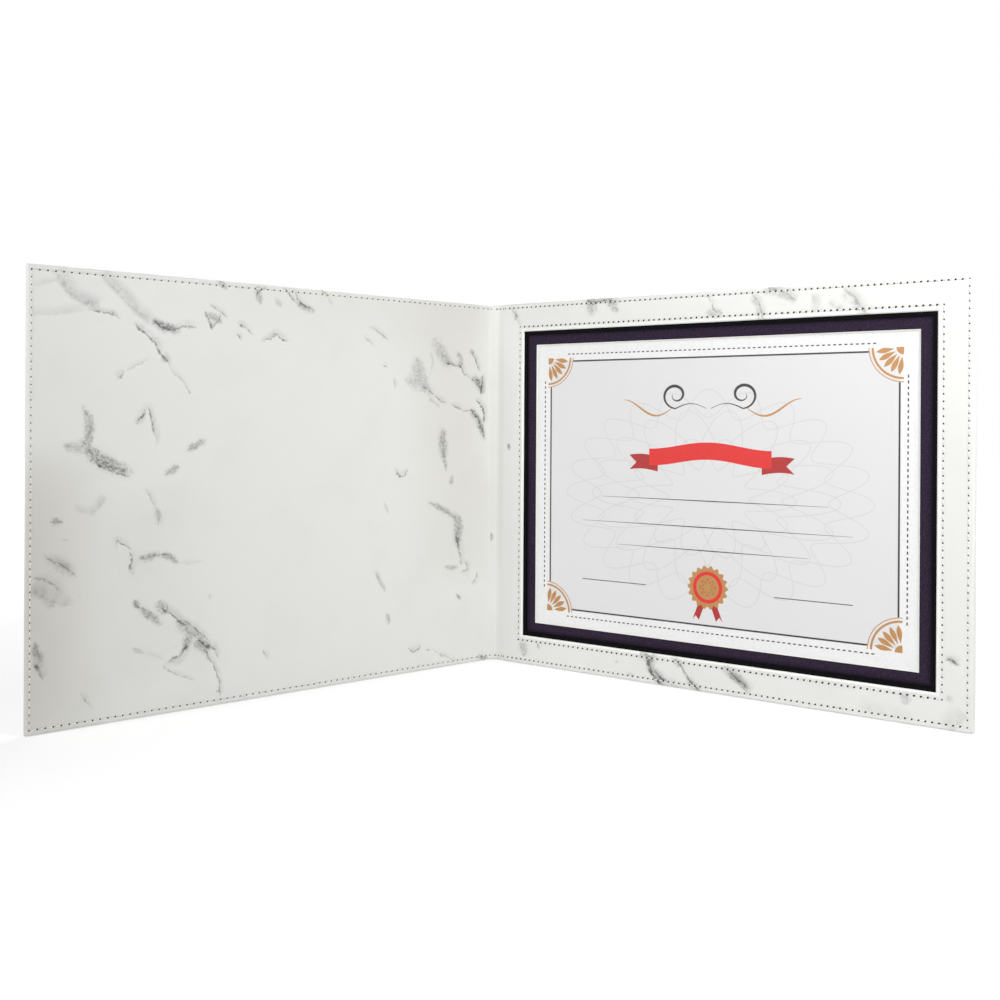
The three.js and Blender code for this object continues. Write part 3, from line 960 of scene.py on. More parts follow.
@dataclass(frozen=True)
class PrintedInk(Finish):
    """Litho ink on paper, a film with slight mottle where the paper takes it unevenly.

    Attributes:
        mottling: strength of the mottle.
        mottle_size: spacing of the mottle in millimetres.
    """

    mottling: float = 0.03
    mottle_size: float = 1.4

    def pattern(self, tree: bpy.types.NodeTree) -> dict[str, object]:
        """Adds the mottle, on Object coordinates.

        Args:
            tree: the material's nodes.

        Returns:
            The colour.
        """
        place = add(tree, "ShaderNodeTexCoord").outputs["Object"]
        values = {"Vector": place, "Scale": per_mm(self.mottle_size), "Detail": 2.0}
        amount = add(tree, Op.TIMES, add(tree, "ShaderNodeTexNoise", sockets=values), self.mottling)
        shade = add(tree, Op.BLEND, sockets={0: amount, 6: linear(self.colour), 7: linear(WHITE)})
        return {"Base Color": shade.outputs[2]}


FINISHES: tuple[Finish, ...] = (
    MarbledLeatherette("marbled_leatherette", "#ECEDE9", 0.42, 1.46),
    SewingThread("polyester_thread", "#FAFAF7", 0.5, 1.53),
    # The needle holes' dark grey is painted shade, the shadow inside each hole.
    SpeckledBoard("needle_hole_painted_shade", "#2C2C2B", 0.9, 1.4, 0.1, "#3C3C3A", 0.6),
    SpeckledBoard("black_card", "#060607", 0.7, 1.45, 0.1, "#0E0D10", 0.7),
    SpeckledBoard("aubergine_mat_board", "#2C2233", 0.85, 1.45, 0.12, "#42364B", 0.9),
    SpeckledBoard("white_mat_core", "#F1F0EC", 0.8, 1.45, 0.3, "#E4E3DE", 0.6),
    SpeckledBoard("certificate_paper", "#F4F4F4", 0.5, 1.5, 0.4, "#EDEDEE", 2.0, 0.02),
    SpeckledBoard("greyboard", "#9C968C", 0.9, 1.45, 0.3, "#7E786E", 1.0, 0.08),
    PrintedInk(Ink.TINT.value, "#E6E5E6", 0.5),
    PrintedInk(Ink.GOLD.value, "#C08A4C", 0.42),
    PrintedInk(Ink.RED.value, "#E11912", 0.42),
    PrintedInk(Ink.DEEP_RED.value, "#B01510", 0.42),
    PrintedInk(Ink.DARK.value, "#1B1A1E", 0.45),
    PrintedInk(Ink.FAINT.value, "#D9D9D8", 0.5),
)
Materials = dict[str, Material]


def edge_rows(radius: float = ROLL_RADIUS) -> Array:
    """Gives insets of the rows along a rolled edge: close over the roll and the seam, wider beyond it."""
    roll = radius * np.array((0, 0.034, 0.134, 0.293, 0.5, 0.741, 1))
    return np.concatenate((roll, (2.1, 2.55, 3.0, 3.45, 3.9, 4.6)))


def edge_drop(inset: Array, depth: Array | float, radius: float = ROLL_RADIUS) -> Array:
    """Gives how far a rolled edge falls below the face: a quarter ellipse of that radius and depth."""
    t = np.clip(1 - inset / radius, 0, 1)
    return depth * (1 - np.sqrt(1 - t * t))


def seam_groove(distance: Array) -> Array:
    """Gives how far the thread pulls the leatherette in, at a distance from the seam: a narrow bell curve."""
    return SEAM_GROOVE * np.exp(-((distance / 0.55) ** 2))


def round_corners(side: Array, z: Array, height: float) -> tuple[Array, Array]:
    """Moves points of a cover's square corners onto arcs: the reach from an arc's centre becomes the radius.

    Args:
        side: insets from the cover's outer edge, in millimetres.
        z: heights.
        height: the cover's height.

    Returns:
        The insets and heights after rounding.
    """
    rise = np.minimum(z, height - z)
    a, b = np.clip(CORNER_RADIUS - side, 0, None), np.clip(CORNER_RADIUS - rise, 0, None)
    scale = np.maximum(a, b) / np.maximum(np.hypot(a, b), TINY)
    inside = (a > 0) & (b > 0)
    rise = np.where(inside, CORNER_RADIUS - b * scale, rise)
    return np.where(inside, CORNER_RADIUS - a * scale, side), np.where(z < height / 2, rise, height - rise)


@dataclass
class LeatheretteSheet:
    """A sheet of the marbled leatherette.

    Attributes:
        name: the piece's name.
        plan: the holder's sizes.
        marble: its print.
        nodes: the solids that it stands for.
    """

    name: str
    plan: HolderPlan
    marble: MarblePrint
    nodes: tuple[str, ...]

    def carry(self, piece: Piece) -> None:
        """Makes the sheet, or a piece that is sewn to it, ride on the window cover."""
        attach(piece, "back_cover")

    def dress(
        self,
        shell: Shell,
        s: Array,
        z: Array,
        leather: Material,
        drift: Array | float = 0.0,
        bead: Array | None = None,
    ) -> None:
        """Makes the sheet's piece from its shell, with its unrolled map and its print.

        Args:
            shell: the vertices and quads, the rear grid's after the face grid's.
            s: distance of the grid's points along the unrolled sheet, from the spine's middle.
            z: their heights.
            leather: the leatherette.
            drift: how far the map runs on where the sheet turns over an edge.
            bead: strength of the highlight painted along the window's bead, from 0 to 1.
        """
        fields = self.marble.fields(s, z)
        if bead is not None:
            fields["bead"] = bead.ravel()
        fields = {label: np.concatenate((values, values)) for label, values in fields.items()}
        sheet = np.tile(np.stack((s + drift, z + drift), axis=-1).reshape(-1, 2), (2, 1))
        piece = make_piece(self.name, *shell, leather, sheet=sheet, fields=fields)
        self.carry(piece)
        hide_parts(*self.nodes)


@dataclass
class FoldSheet(LeatheretteSheet):
    """A leatherette sheet from the spine's middle over a crease and along a cover.

    Its shape is a plan curve carried up the cover's height: straight on each leaf, and a cubic curve between
    them at the crease. The free edges roll in by a quarter ellipse.

    Attributes:
        face: the side that it shows.
        to_front: whether it lies over the plain cover's crease.
        reach: how far it goes along the cover from the crease axis.
        cover_face: its own y on the cover.
        spine_face: its own y on the spine.
        rolled: whether its outer end is a rolled edge of the cover.
        flush: how long the curve keeps each leaf's direction, where it runs from the spine's middle to the
            end of its reach and ends flush there.
        fall: how far its upper and lower edges roll in, on the spine and on the cover.
        fall_span: distances from the spine's middle between which the one fall becomes the other.
        bend: half the length of its curve at the crease.
        blend_reach: how far from the crease carry places two points, which it does not use.
    """

    face: Face
    to_front: bool
    reach: float
    cover_face: float
    spine_face: float
    rolled: bool = True
    flush: float | None = None
    fall: tuple[float, float] = (SPINE_EDGE_DEPTH, EDGE_DEPTH)
    fall_span: tuple[float, float] = (2.0, 6.5)
    bend: float = 2.4
    blend_reach: float = 2.9
    courses: Array = field(init=False)
    route: Array = field(init=False)

    def __post_init__(self) -> None:
        """Works out the plan curve, as positions at distances along the unrolled sheet."""
        half, sign = self.plan.spine_width / 2, self.sign
        near_cover, near_spine = (self.reach, half) if self.flush else (self.bend, self.bend)
        cover_x = sign * np.array((self.reach + 1, self.reach, near_cover))
        spine_x = np.array((sign * (half - near_spine) - half, -half, -half - sign))
        flat = self.cover.plan(cover_x, np.full(3, self.cover_face))
        over = self.plan.spine.plan(spine_x, np.full(3, self.spine_face))
        ways = np.stack((flat[1] - flat[0], over[1] - over[2]), axis=1)
        meeting = flat[2] + ways[:, 0] * np.linalg.solve(ways, over[1] - flat[2])[0]
        first, last = (flat[2] + 2 * meeting) / 3, (over[0] + 2 * meeting) / 3
        if self.flush:
            first, last = flat[2] + ways[:, 0] * self.flush, over[0] + ways[:, 1] * self.flush
        t = np.linspace(0, 1, 17)[:, None]
        curve = (1 - t) ** 3 * flat[2] + t**3 * over[0] + 3 * t * (1 - t) * ((1 - t) * first + t * last)
        stretch = np.linspace(half + near_cover, half - near_spine, len(t))
        distances = np.concatenate(([half + self.reach + 1], stretch, [-1.0]))
        route = np.concatenate((flat[:1], curve, over[2:]))
        order = np.argsort(sign * distances)
        self.courses, self.route = sign * distances[order], route[order]

    @property
    def sign(self) -> int:
        """Side of the spine's middle on which it lies."""
        return -1 if self.to_front else 1

    @property
    def cover(self) -> Leaf:
        """The cover on which it lies."""
        return self.plan.front if self.to_front else self.plan.back

    @property
    def end(self) -> float:
        """Distance of its outer end from the spine's middle."""
        return self.plan.spine_width / 2 + self.reach

    @property
    def side_roll(self) -> float:
        """Radius of its outer edge's roll, wider on the plain cover."""
        return SIDE_ROLL_RADIUS if self.to_front else ROLL_RADIUS

    def along(self) -> Array:
        """Gives the distances of the grid's columns along the unrolled sheet, in rising order."""
        middle = np.linspace(0, self.plan.spine_width / 2 + min(self.bend, self.reach - 0.1), 21)
        stop = self.end - edge_rows(self.side_roll)[::-1] if self.rolled else np.array((self.end,))
        if stop[0] - middle[-1] > GRID_PITCH:
            count = int((stop[0] - middle[-1]) / GRID_PITCH)
            middle = np.concatenate((middle, np.linspace(middle[-1], stop[0], count + 1)[1:-1]))
        distances = np.concatenate((middle, stop))
        return -distances[::-1] if self.to_front else distances

    def relief(self, s: Array, z: Array) -> Array:
        """Gives the height of the sheet's face over its flat place, from its rolled edges and its seam.

        Args:
            s: distance along the sheet from the spine's middle.
            z: height.

        Returns:
            The face's height, below zero where it falls.
        """
        inset = np.minimum(z, self.plan.height - z)
        seam = inset - SEAM_INSET
        depth = np.interp(np.abs(s), self.fall_span, self.fall)
        drop = edge_drop(inset, depth)
        if self.rolled:
            side = self.end - np.abs(s)
            drop = np.maximum(drop, edge_drop(side, depth, self.side_roll))
            seam = np.minimum(seam, side - (SIDE_SEAM_INSET if self.to_front else SEAM_INSET))
        return -drop - seam_groove(seam)

    def plan_at(self, s: Array) -> Array:
        """Gives the plan curve's positions at distances along the sheet."""
        return np.stack([np.interp(s, self.courses, axis) for axis in self.route.T], axis=-1)

    def at(self, s: Array, z: Array, lift: Array | float = 0.0) -> tuple[Array, Array]:
        """Places points of the unrolled sheet in the shared frame.

        Args:
            s: distance along the sheet from the spine's middle.
            z: height.
            lift: height over the sheet's face.

        Returns:
            The points and the face's outward normals there.
        """
        way = self.plan_at(s + 0.2) - self.plan_at(s - 0.2)
        way /= np.maximum(np.linalg.norm(way, axis=-1, keepdims=True), TINY)
        normal = self.face.value * np.stack((-way[..., 1], way[..., 0], 0 * way[..., 0]), axis=-1)
        points = np.concatenate((self.plan_at(s), np.broadcast_to(z, s.shape)[..., None]), axis=-1)
        return points + normal * (self.relief(s, z) + lift)[..., None], normal

    def build(self, leather: Material) -> None:
        """Builds the sheet as a closed shell and dresses it.

        Args:
            leather: the leatherette.
        """
        rows, height = edge_rows(), self.plan.height
        inner = np.linspace(rows[-1], height - rows[-1], int((height - 2 * rows[-1]) / GRID_PITCH) + 1)
        levels = np.concatenate((rows[:-1], inner, height - rows[-2::-1]))
        s, z = np.meshgrid(self.along(), levels, indexing="ij")
        place_s, place_z = s, z
        if self.rolled:
            side, place_z = round_corners(self.end - np.abs(s), z, height)
            place_s = np.sign(s) * (self.end - side)
        flat, normal = self.at(place_s, place_z)
        grid = flat + normal * (self.relief(s, z) - self.relief(place_s, place_z))[..., None]
        slope = surface_normals(grid)
        slope *= np.sign(np.einsum("ijk,ijk->ij", slope, normal) + TINY)[..., None]
        self.dress(closed_sheet(grid, grid - slope * SHEET_THICKNESS), s, z, leather)

    def carry(self, piece: Piece) -> None:
        """Bakes the sheet's, or a seam's, place into its mesh; the two points beside the crease worked out
        here are not used.
        """
        half = self.plan.spine_width / 2
        start = self.plan.spine.place(self.sign * (half - self.blend_reach) - half, 0.0, 0.0)
        end = self.cover.place(self.sign * min(self.blend_reach, self.reach - 0.2), 0.0, 0.0)
        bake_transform(piece)


@dataclass
class WindowFrame(LeatheretteSheet):
    """The leatherette frame round the window: rings of rectangles from the window's bead to the outer roll.

    Attributes:
        bead: height of the padded bead along the window.
        seam_offset: the window seam's distance from the window's edge.
    """

    bead: float = 0.32
    seam_offset: float = 3.2

    def from_window(self, x: Array, z: Array) -> Array:
        """Gives how far points lie outside the window."""
        x0, x1, z0, z1 = self.plan.window
        return np.maximum(np.maximum(x0 - x, x - x1), np.maximum(z0 - z, z - z1))

    def relief(self, x: Array, z: Array) -> Array:
        """Gives the face's height: the bead and its fall at the window, the seams, and the outer rolls.

        The bead is a bell curve one millimetre from the window's edge, and each edge falls by a quarter
        ellipse.

        Args:
            x: distance along the cover from the crease axis.
            z: height.

        Returns:
            The face's height over its flat place.
        """
        out, free = self.from_window(x, z), x - self.plan.frame_start
        inset = np.minimum(np.minimum(z, self.plan.height - z), self.plan.width - x)
        rise = self.bead * np.exp(-(((out - 1.1) / 0.8) ** 2))
        fall = edge_drop(out, 0.75, 0.8) + edge_drop(inset, EDGE_DEPTH) + edge_drop(free, 0.15, 0.7)
        return rise - fall - seam_groove(out - self.seam_offset) - seam_groove(inset - SEAM_INSET)

    def at(self, s: Array, z: Array, lift: Array | float = 0.0) -> tuple[Array, Array]:
        """Places points of the unrolled sheet on the frame.

        Args:
            s: distance along the sheet from the spine's middle.
            z: height.
            lift: height over the frame's face.

        Returns:
            The points and the face's outward normals there.
        """
        x = s - self.plan.spine_width / 2
        normal = np.zeros((*x.shape, 3))
        normal[..., 1] = -1.0
        return self.plan.back.place(x, self.plan.frame_face - self.relief(x, z) - lift, z), normal

    def ring_offsets(self, border: float, outer: Array) -> Array:
        """Gives the rings' distances from the window on a side, close at the window and the outer edge."""
        near = np.array((0, 0.027, 0.107, 0.234, 0.4, 0.59, 0.8, 1.1, 1.5, 1.9, 2.3, 2.75, 3.2, 3.65, 4.1))
        far = border - outer[::-1]
        return np.concatenate((near, np.linspace(near[-1], far[0], 8)[1:-1], far))

    def build(self, leather: Material) -> None:
        """Builds the frame as one closed ring and dresses it.

        Args:
            leather: the leatherette.
        """
        plan = self.plan
        x0, x1, z0, z1 = plan.window
        rolled = edge_rows()
        plain = np.linspace(0, 1, len(rolled)) ** 1.5 * rolled[-1]
        ax = (x0 - self.ring_offsets(x0 - plan.frame_start, plain))[:, None]
        bx = (x1 + self.ring_offsets(plan.width - x1, rolled))[:, None]
        az = (z0 - self.ring_offsets(z0, rolled))[:, None]
        bz = (z1 + self.ring_offsets(plan.height - z1, rolled))[:, None]
        ends = np.array((0, 0.3, 0.65, 1.0, 1.4, 2.0)) / (x1 - x0)
        steps = np.linspace(ends[-1], 1 - ends[-1], int((x1 - x0) / 1.5))
        part = np.concatenate((ends[:-1], steps, 1 - ends[:0:-1]))[None, :]
        still = np.ones_like(part)
        x = np.concatenate((ax + (bx - ax) * part, bx * still, bx - (bx - ax) * part, ax * still), axis=1)
        z = np.concatenate((az * still, az + (bz - az) * part, bz * still, bz - (bz - az) * part), axis=1)
        side, place_z = round_corners(plan.width - x, z, plan.height)
        grid = plan.back.place(plan.width - side, plan.frame_face - self.relief(x, z), place_z)
        slope = surface_normals(np.concatenate((grid[:, -1:], grid, grid[:, :1]), axis=1))[:, 1:-1]
        slope *= np.sign(-slope[..., 1:2] + TINY)
        shell = closed_sheet(grid, grid - slope * SHEET_THICKNESS, ring=True)
        # Painted highlight: how strongly the leatherette is whitened along the window's bead.
        bead_highlight_share = np.exp(-((self.from_window(x, z) / 1.7) ** 4))
        self.dress(shell, x + plan.spine_width / 2, z, leather, bead=bead_highlight_share)


@dataclass
class TurnedEdge(LeatheretteSheet):
    """The leatherette that wraps the window cover's three free edges, between the outer skin and the frame.

    It is a slightly bulging band carried along the cover's outline.

    Attributes:
        bulge: how far its middle stands out.
        wrap: how far the print runs on over the edge.
    """

    bulge: float = 0.1
    wrap: float = 3.0

    def outline(self) -> tuple[Array, Array]:
        """Follows the cover's outline from the spine round the outer side and back.

        Returns:
            The outline's points and its outward directions.
        """
        width, height, r = self.plan.width, self.plan.height, CORNER_RADIUS
        end, top = width - r, height - r
        quarter = np.linspace(0, math.pi / 2, 7)
        flat = np.linspace(self.plan.frame_start, end, 150)
        rise = np.linspace(r, top, 120)[1:-1]
        low, high = quarter[1:], quarter[:-1]
        x = (flat, end + r * np.sin(low), np.full(len(rise), width), end + r * np.cos(high), flat[::-1])
        z = (0 * flat, r - r * np.cos(low), rise, top + r * np.sin(high), 0 * flat + height)
        points = np.stack((np.concatenate(x), np.concatenate(z)), axis=-1)
        past = np.clip((points - (end, top)) / r, 0, 1)
        past[:, 1] -= np.clip((r - points[:, 1]) / r, 0, 1)
        return points, past / np.linalg.norm(past, axis=-1, keepdims=True)

    def build(self, leather: Material) -> None:
        """Builds the band and dresses it.

        Args:
            leather: the leatherette.
        """
        points, out = self.outline()
        t = np.linspace(0, 1, 7)[:, None]
        start, end = self.plan.outer_face - EDGE_DEPTH, self.plan.frame_face + EDGE_DEPTH
        y = start + t * (end - start)
        swell = self.bulge * np.sin(math.pi * t)
        face, rear = (
            self.plan.back.place(points[:, 0] + out[:, 0] * bulge, y, points[:, 1] + out[:, 1] * bulge)
            for bulge in (swell, swell - SHEET_THICKNESS)
        )
        s = np.broadcast_to(points[:, 0] + self.plan.spine_width / 2, face.shape[:2])
        z = np.broadcast_to(points[:, 1], s.shape)
        self.dress(closed_sheet(face, rear), s, z, leather, drift=t * self.wrap)


def seam_holes(corners: Path2, pitch: float, closed: bool = False) -> Array:
    """Spaces needle holes evenly along the straight runs of a seam, with a hole at every corner.

    Args:
        corners: the seam's ends and corners on the unrolled sheet.
        pitch: length of a stitch on the level runs.
        closed: whether the last corner joins the first.

    Returns:
        The holes in order.
    """
    knots = np.asarray(corners, dtype=float)
    if closed:
        knots = np.concatenate((knots, knots[:1]))
    runs = []
    for start, end in zip(knots[:-1], knots[1:]):
        upright = abs(end[1] - start[1]) > abs(end[0] - start[0])
        count = max(1, round(np.linalg.norm(end - start) / (UPRIGHT_PITCH if upright else pitch)))
        runs.append(start + (end - start) * np.linspace(0, 1, count, endpoint=False)[:, None])
    return np.concatenate((*runs, knots[-1:]))


@dataclass(frozen=True)
class Seam:
    """A row of lockstitches: a thread from hole to hole and the dark needle holes between.

    Attributes:
        name: the row's name.
        holes: the needle holes on the unrolled sheet, in order.
        sheet: the sheet that it is sewn to.
        nodes: the solids that the row stands for.
        hole: half the length of a needle hole on a level run; the upright runs are drawn tighter.
        shares: places along a stitch at which its thread is measured, from 0 to 1.
        lifts: the thread's heights over the leatherette there.
        radii: the thread's radii there.
        sides: sides of a thread.
        rim: corners of a needle hole.
        slant: a needle hole's turn from the seam, in radians.
    """

    name: str
    holes: Array
    sheet: FoldSheet | WindowFrame
    nodes: tuple[str, ...]
    hole: float
    shares: tuple[float, ...] = (0.14, 0.28, 0.5, 0.72, 0.86)
    lifts: tuple[float, ...] = (-0.1, 0.16, 0.26, 0.16, -0.1)
    radii: tuple[float, ...] = (0.16, 0.30, 0.33, 0.30, 0.16)
    sides: int = 6
    rim: int = 8
    slant: float = 0.5

    def threads(self) -> Shell:
        """Builds the threads: a tube from hole to hole that arches over the face and dips at its ends.

        Returns:
            The vertices and faces of all the row's threads.
        """
        start, step = self.holes[:-1, None, :], np.diff(self.holes, axis=0)[:, None, :]
        course = start + step * np.array(self.shares)[None, :, None]
        lift = np.broadcast_to(self.lifts, course.shape[:2])
        points, normal = self.sheet.at(course[..., 0], course[..., 1], lift)
        way = points[:, -1] - points[:, 0]
        way /= np.linalg.norm(way, axis=-1, keepdims=True)
        up = normal[:, 2]
        across = np.cross(way, up)
        angle = np.arange(self.sides)[:, None] * 2 * math.pi / self.sides
        ring = np.cos(angle) * across[:, None, None, :] + np.sin(angle) * up[:, None, None, :]
        tubes = points[:, :, None, :] + np.array(self.radii)[None, :, None, None] * ring
        index = np.arange(tubes.size // 3).reshape(tubes.shape[:3])
        turned = np.roll(index, -1, axis=2)
        quads = np.stack((index[:, :-1], index[:, 1:], turned[:, 1:], turned[:, :-1]), axis=-1)
        caps = np.concatenate((index[:, 0], index[:, -1, ::-1]))
        return tubes.reshape(-1, 3), quads.reshape(-1, 4).tolist() + caps.tolist()

    def needle_holes(self) -> Shell:
        """Builds the needle holes: slanted ovals flush with the face, each closed by a shallow cone below.

        Returns:
            The vertices and faces of all the row's needle holes.
        """
        angle = (np.arange(self.rim) * 2 * math.pi / self.rim)[None, :, None]
        way = np.gradient(self.holes, axis=0)
        way /= np.linalg.norm(way, axis=-1, keepdims=True)
        across = np.stack((-way[:, 1], way[:, 0]), axis=-1)
        long_axis = way * math.cos(self.slant) + across * math.sin(self.slant)
        short_axis = 0.76 * np.stack((-long_axis[:, 1], long_axis[:, 0]), axis=-1)
        size = self.hole * np.where(np.abs(way[:, 1]) > np.abs(way[:, 0]), 0.75, 1.0)[:, None, None]
        oval = np.cos(angle) * long_axis[:, None, :] + np.sin(angle) * short_axis[:, None, :]
        rim = self.holes[:, None, :] + size * oval
        top, normal = self.sheet.at(rim[..., 0], rim[..., 1], np.full(rim.shape[:2], 0.05))
        tip, _ = self.sheet.at(self.holes[:, 0], self.holes[:, 1], np.full(len(self.holes), -0.25))
        vertices = np.concatenate((top.reshape(-1, 3), tip))
        index = np.arange(top.size // 3).reshape(top.shape[:2])
        tips = np.broadcast_to(np.arange(len(tip))[:, None] + index.size, index.shape)
        cones = np.stack((index, np.roll(index, -1, axis=1), tips), axis=-1).reshape(-1, 3)
        first = vertices[index[0]]
        if np.dot(np.cross(first[1] - first[0], first[2] - first[0]), normal[0, 0]) > 0:
            return vertices, index.tolist() + cones[:, ::-1].tolist()
        return vertices, index[:, ::-1].tolist() + cones.tolist()

    def build(self, materials: Materials) -> None:
        """Builds the row's threads and needle holes.

        Args:
            materials: the holder's materials.
        """
        thread = make_piece(f"{self.name}_thread", *self.threads(), materials["polyester_thread"])
        # The needle holes' dark finish is painted shade for the shadow in each hole.
        hole = make_piece(
            f"{self.name}_needle_holes", *self.needle_holes(), materials["needle_hole_painted_shade"], smooth=False
        )
        self.sheet.carry(thread)
        self.sheet.carry(hole)
        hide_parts(*self.nodes)


@dataclass
class MatBoard:
    """The aubergine mat, with a bevel cut round its opening that shows the board's white core.

    Attributes:
        plan: the holder's sizes.
        bevel: width of the bevel.
        seat: width of the bevel's hidden seat behind the board's face.
        skin: thickness of the coloured face over the core.
        shadow: how far the shadow painted on the board beside the lip reaches at the left, right, bottom and
            top.
    """

    plan: HolderPlan
    bevel: float = 0.9
    seat: float = 1.5
    skin: float = 0.08
    shadow: Box = (1.0, 0.9, 1.8, 1.1)

    def ring(self, rectangles: Array, depths: Sequence[float]) -> Shell:
        """Builds a closed ring from rectangles joined in turn, the last to the first.

        Args:
            rectangles: lowest and highest x and z of each.
            depths: own y of each.

        Returns:
            The vertices and quads.
        """
        x, z = rectangles[:, (0, 1, 1, 0)], rectangles[:, (2, 2, 3, 3)]
        points = self.plan.back.place(x, np.asarray(depths)[:, None], z)
        index = np.arange(len(rectangles) * 4).reshape(-1, 4)
        after, beside = np.roll(index, -1, axis=0), np.roll(index, -1, axis=1)
        quads = np.stack((index, beside, np.roll(after, -1, axis=1), after), axis=-1).reshape(-1, 4)
        return outward(points.reshape(-1, 3), quads)

    def build(self, materials: Materials) -> None:
        """Builds the board and its bevel, on the mat.

        Args:
            materials: the holder's materials.
        """
        front, back = self.plan.mat_depth
        outline, opening, lip = (
            np.array(box) for box in (self.plan.mat_outline, self.plan.mat_opening, self.plan.lip)
        )
        grow = np.array((-1, 1, -1, 1))
        wide, seat = opening + self.bevel * grow, opening + (self.bevel + self.seat) * grow
        under = front + self.skin
        steps = np.linspace(0, 1, 12)[:, None]
        bands = lip + (wide - lip) * steps
        # Painted shadow: the board darkens beside the lip, fading over these distances.
        fall = np.exp(-((steps * np.abs(wide - lip) / np.array(self.shadow)) ** 1.5))
        sides = np.concatenate((np.ones((2, 4)), fall, np.zeros((2, 4))))
        lip_shadow_share = np.maximum(sides[:, (0, 1, 1, 0)], sides[:, (2, 2, 3, 3)]).ravel()
        rectangles = np.concatenate(((outline, outline), bands, (seat, seat)))
        shell = self.ring(rectangles, (back, *np.full(len(bands) + 1, front), under, back))
        fields = {"painted_lip_shadow": lip_shadow_share}
        board = make_piece(
            "aubergine_mat", *shell, materials["aubergine_mat_board"], smooth=False, fields=fields
        )
        rectangles = np.stack((wide, opening, opening, seat, seat))
        shell = self.ring(rectangles, (front + 0.01, back - 0.12, back, back, under))
        core = make_piece("mat_bevel", *shell, materials["white_mat_core"], smooth=False)
        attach(board, "mat")
        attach(core, "mat")
        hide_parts("mat")


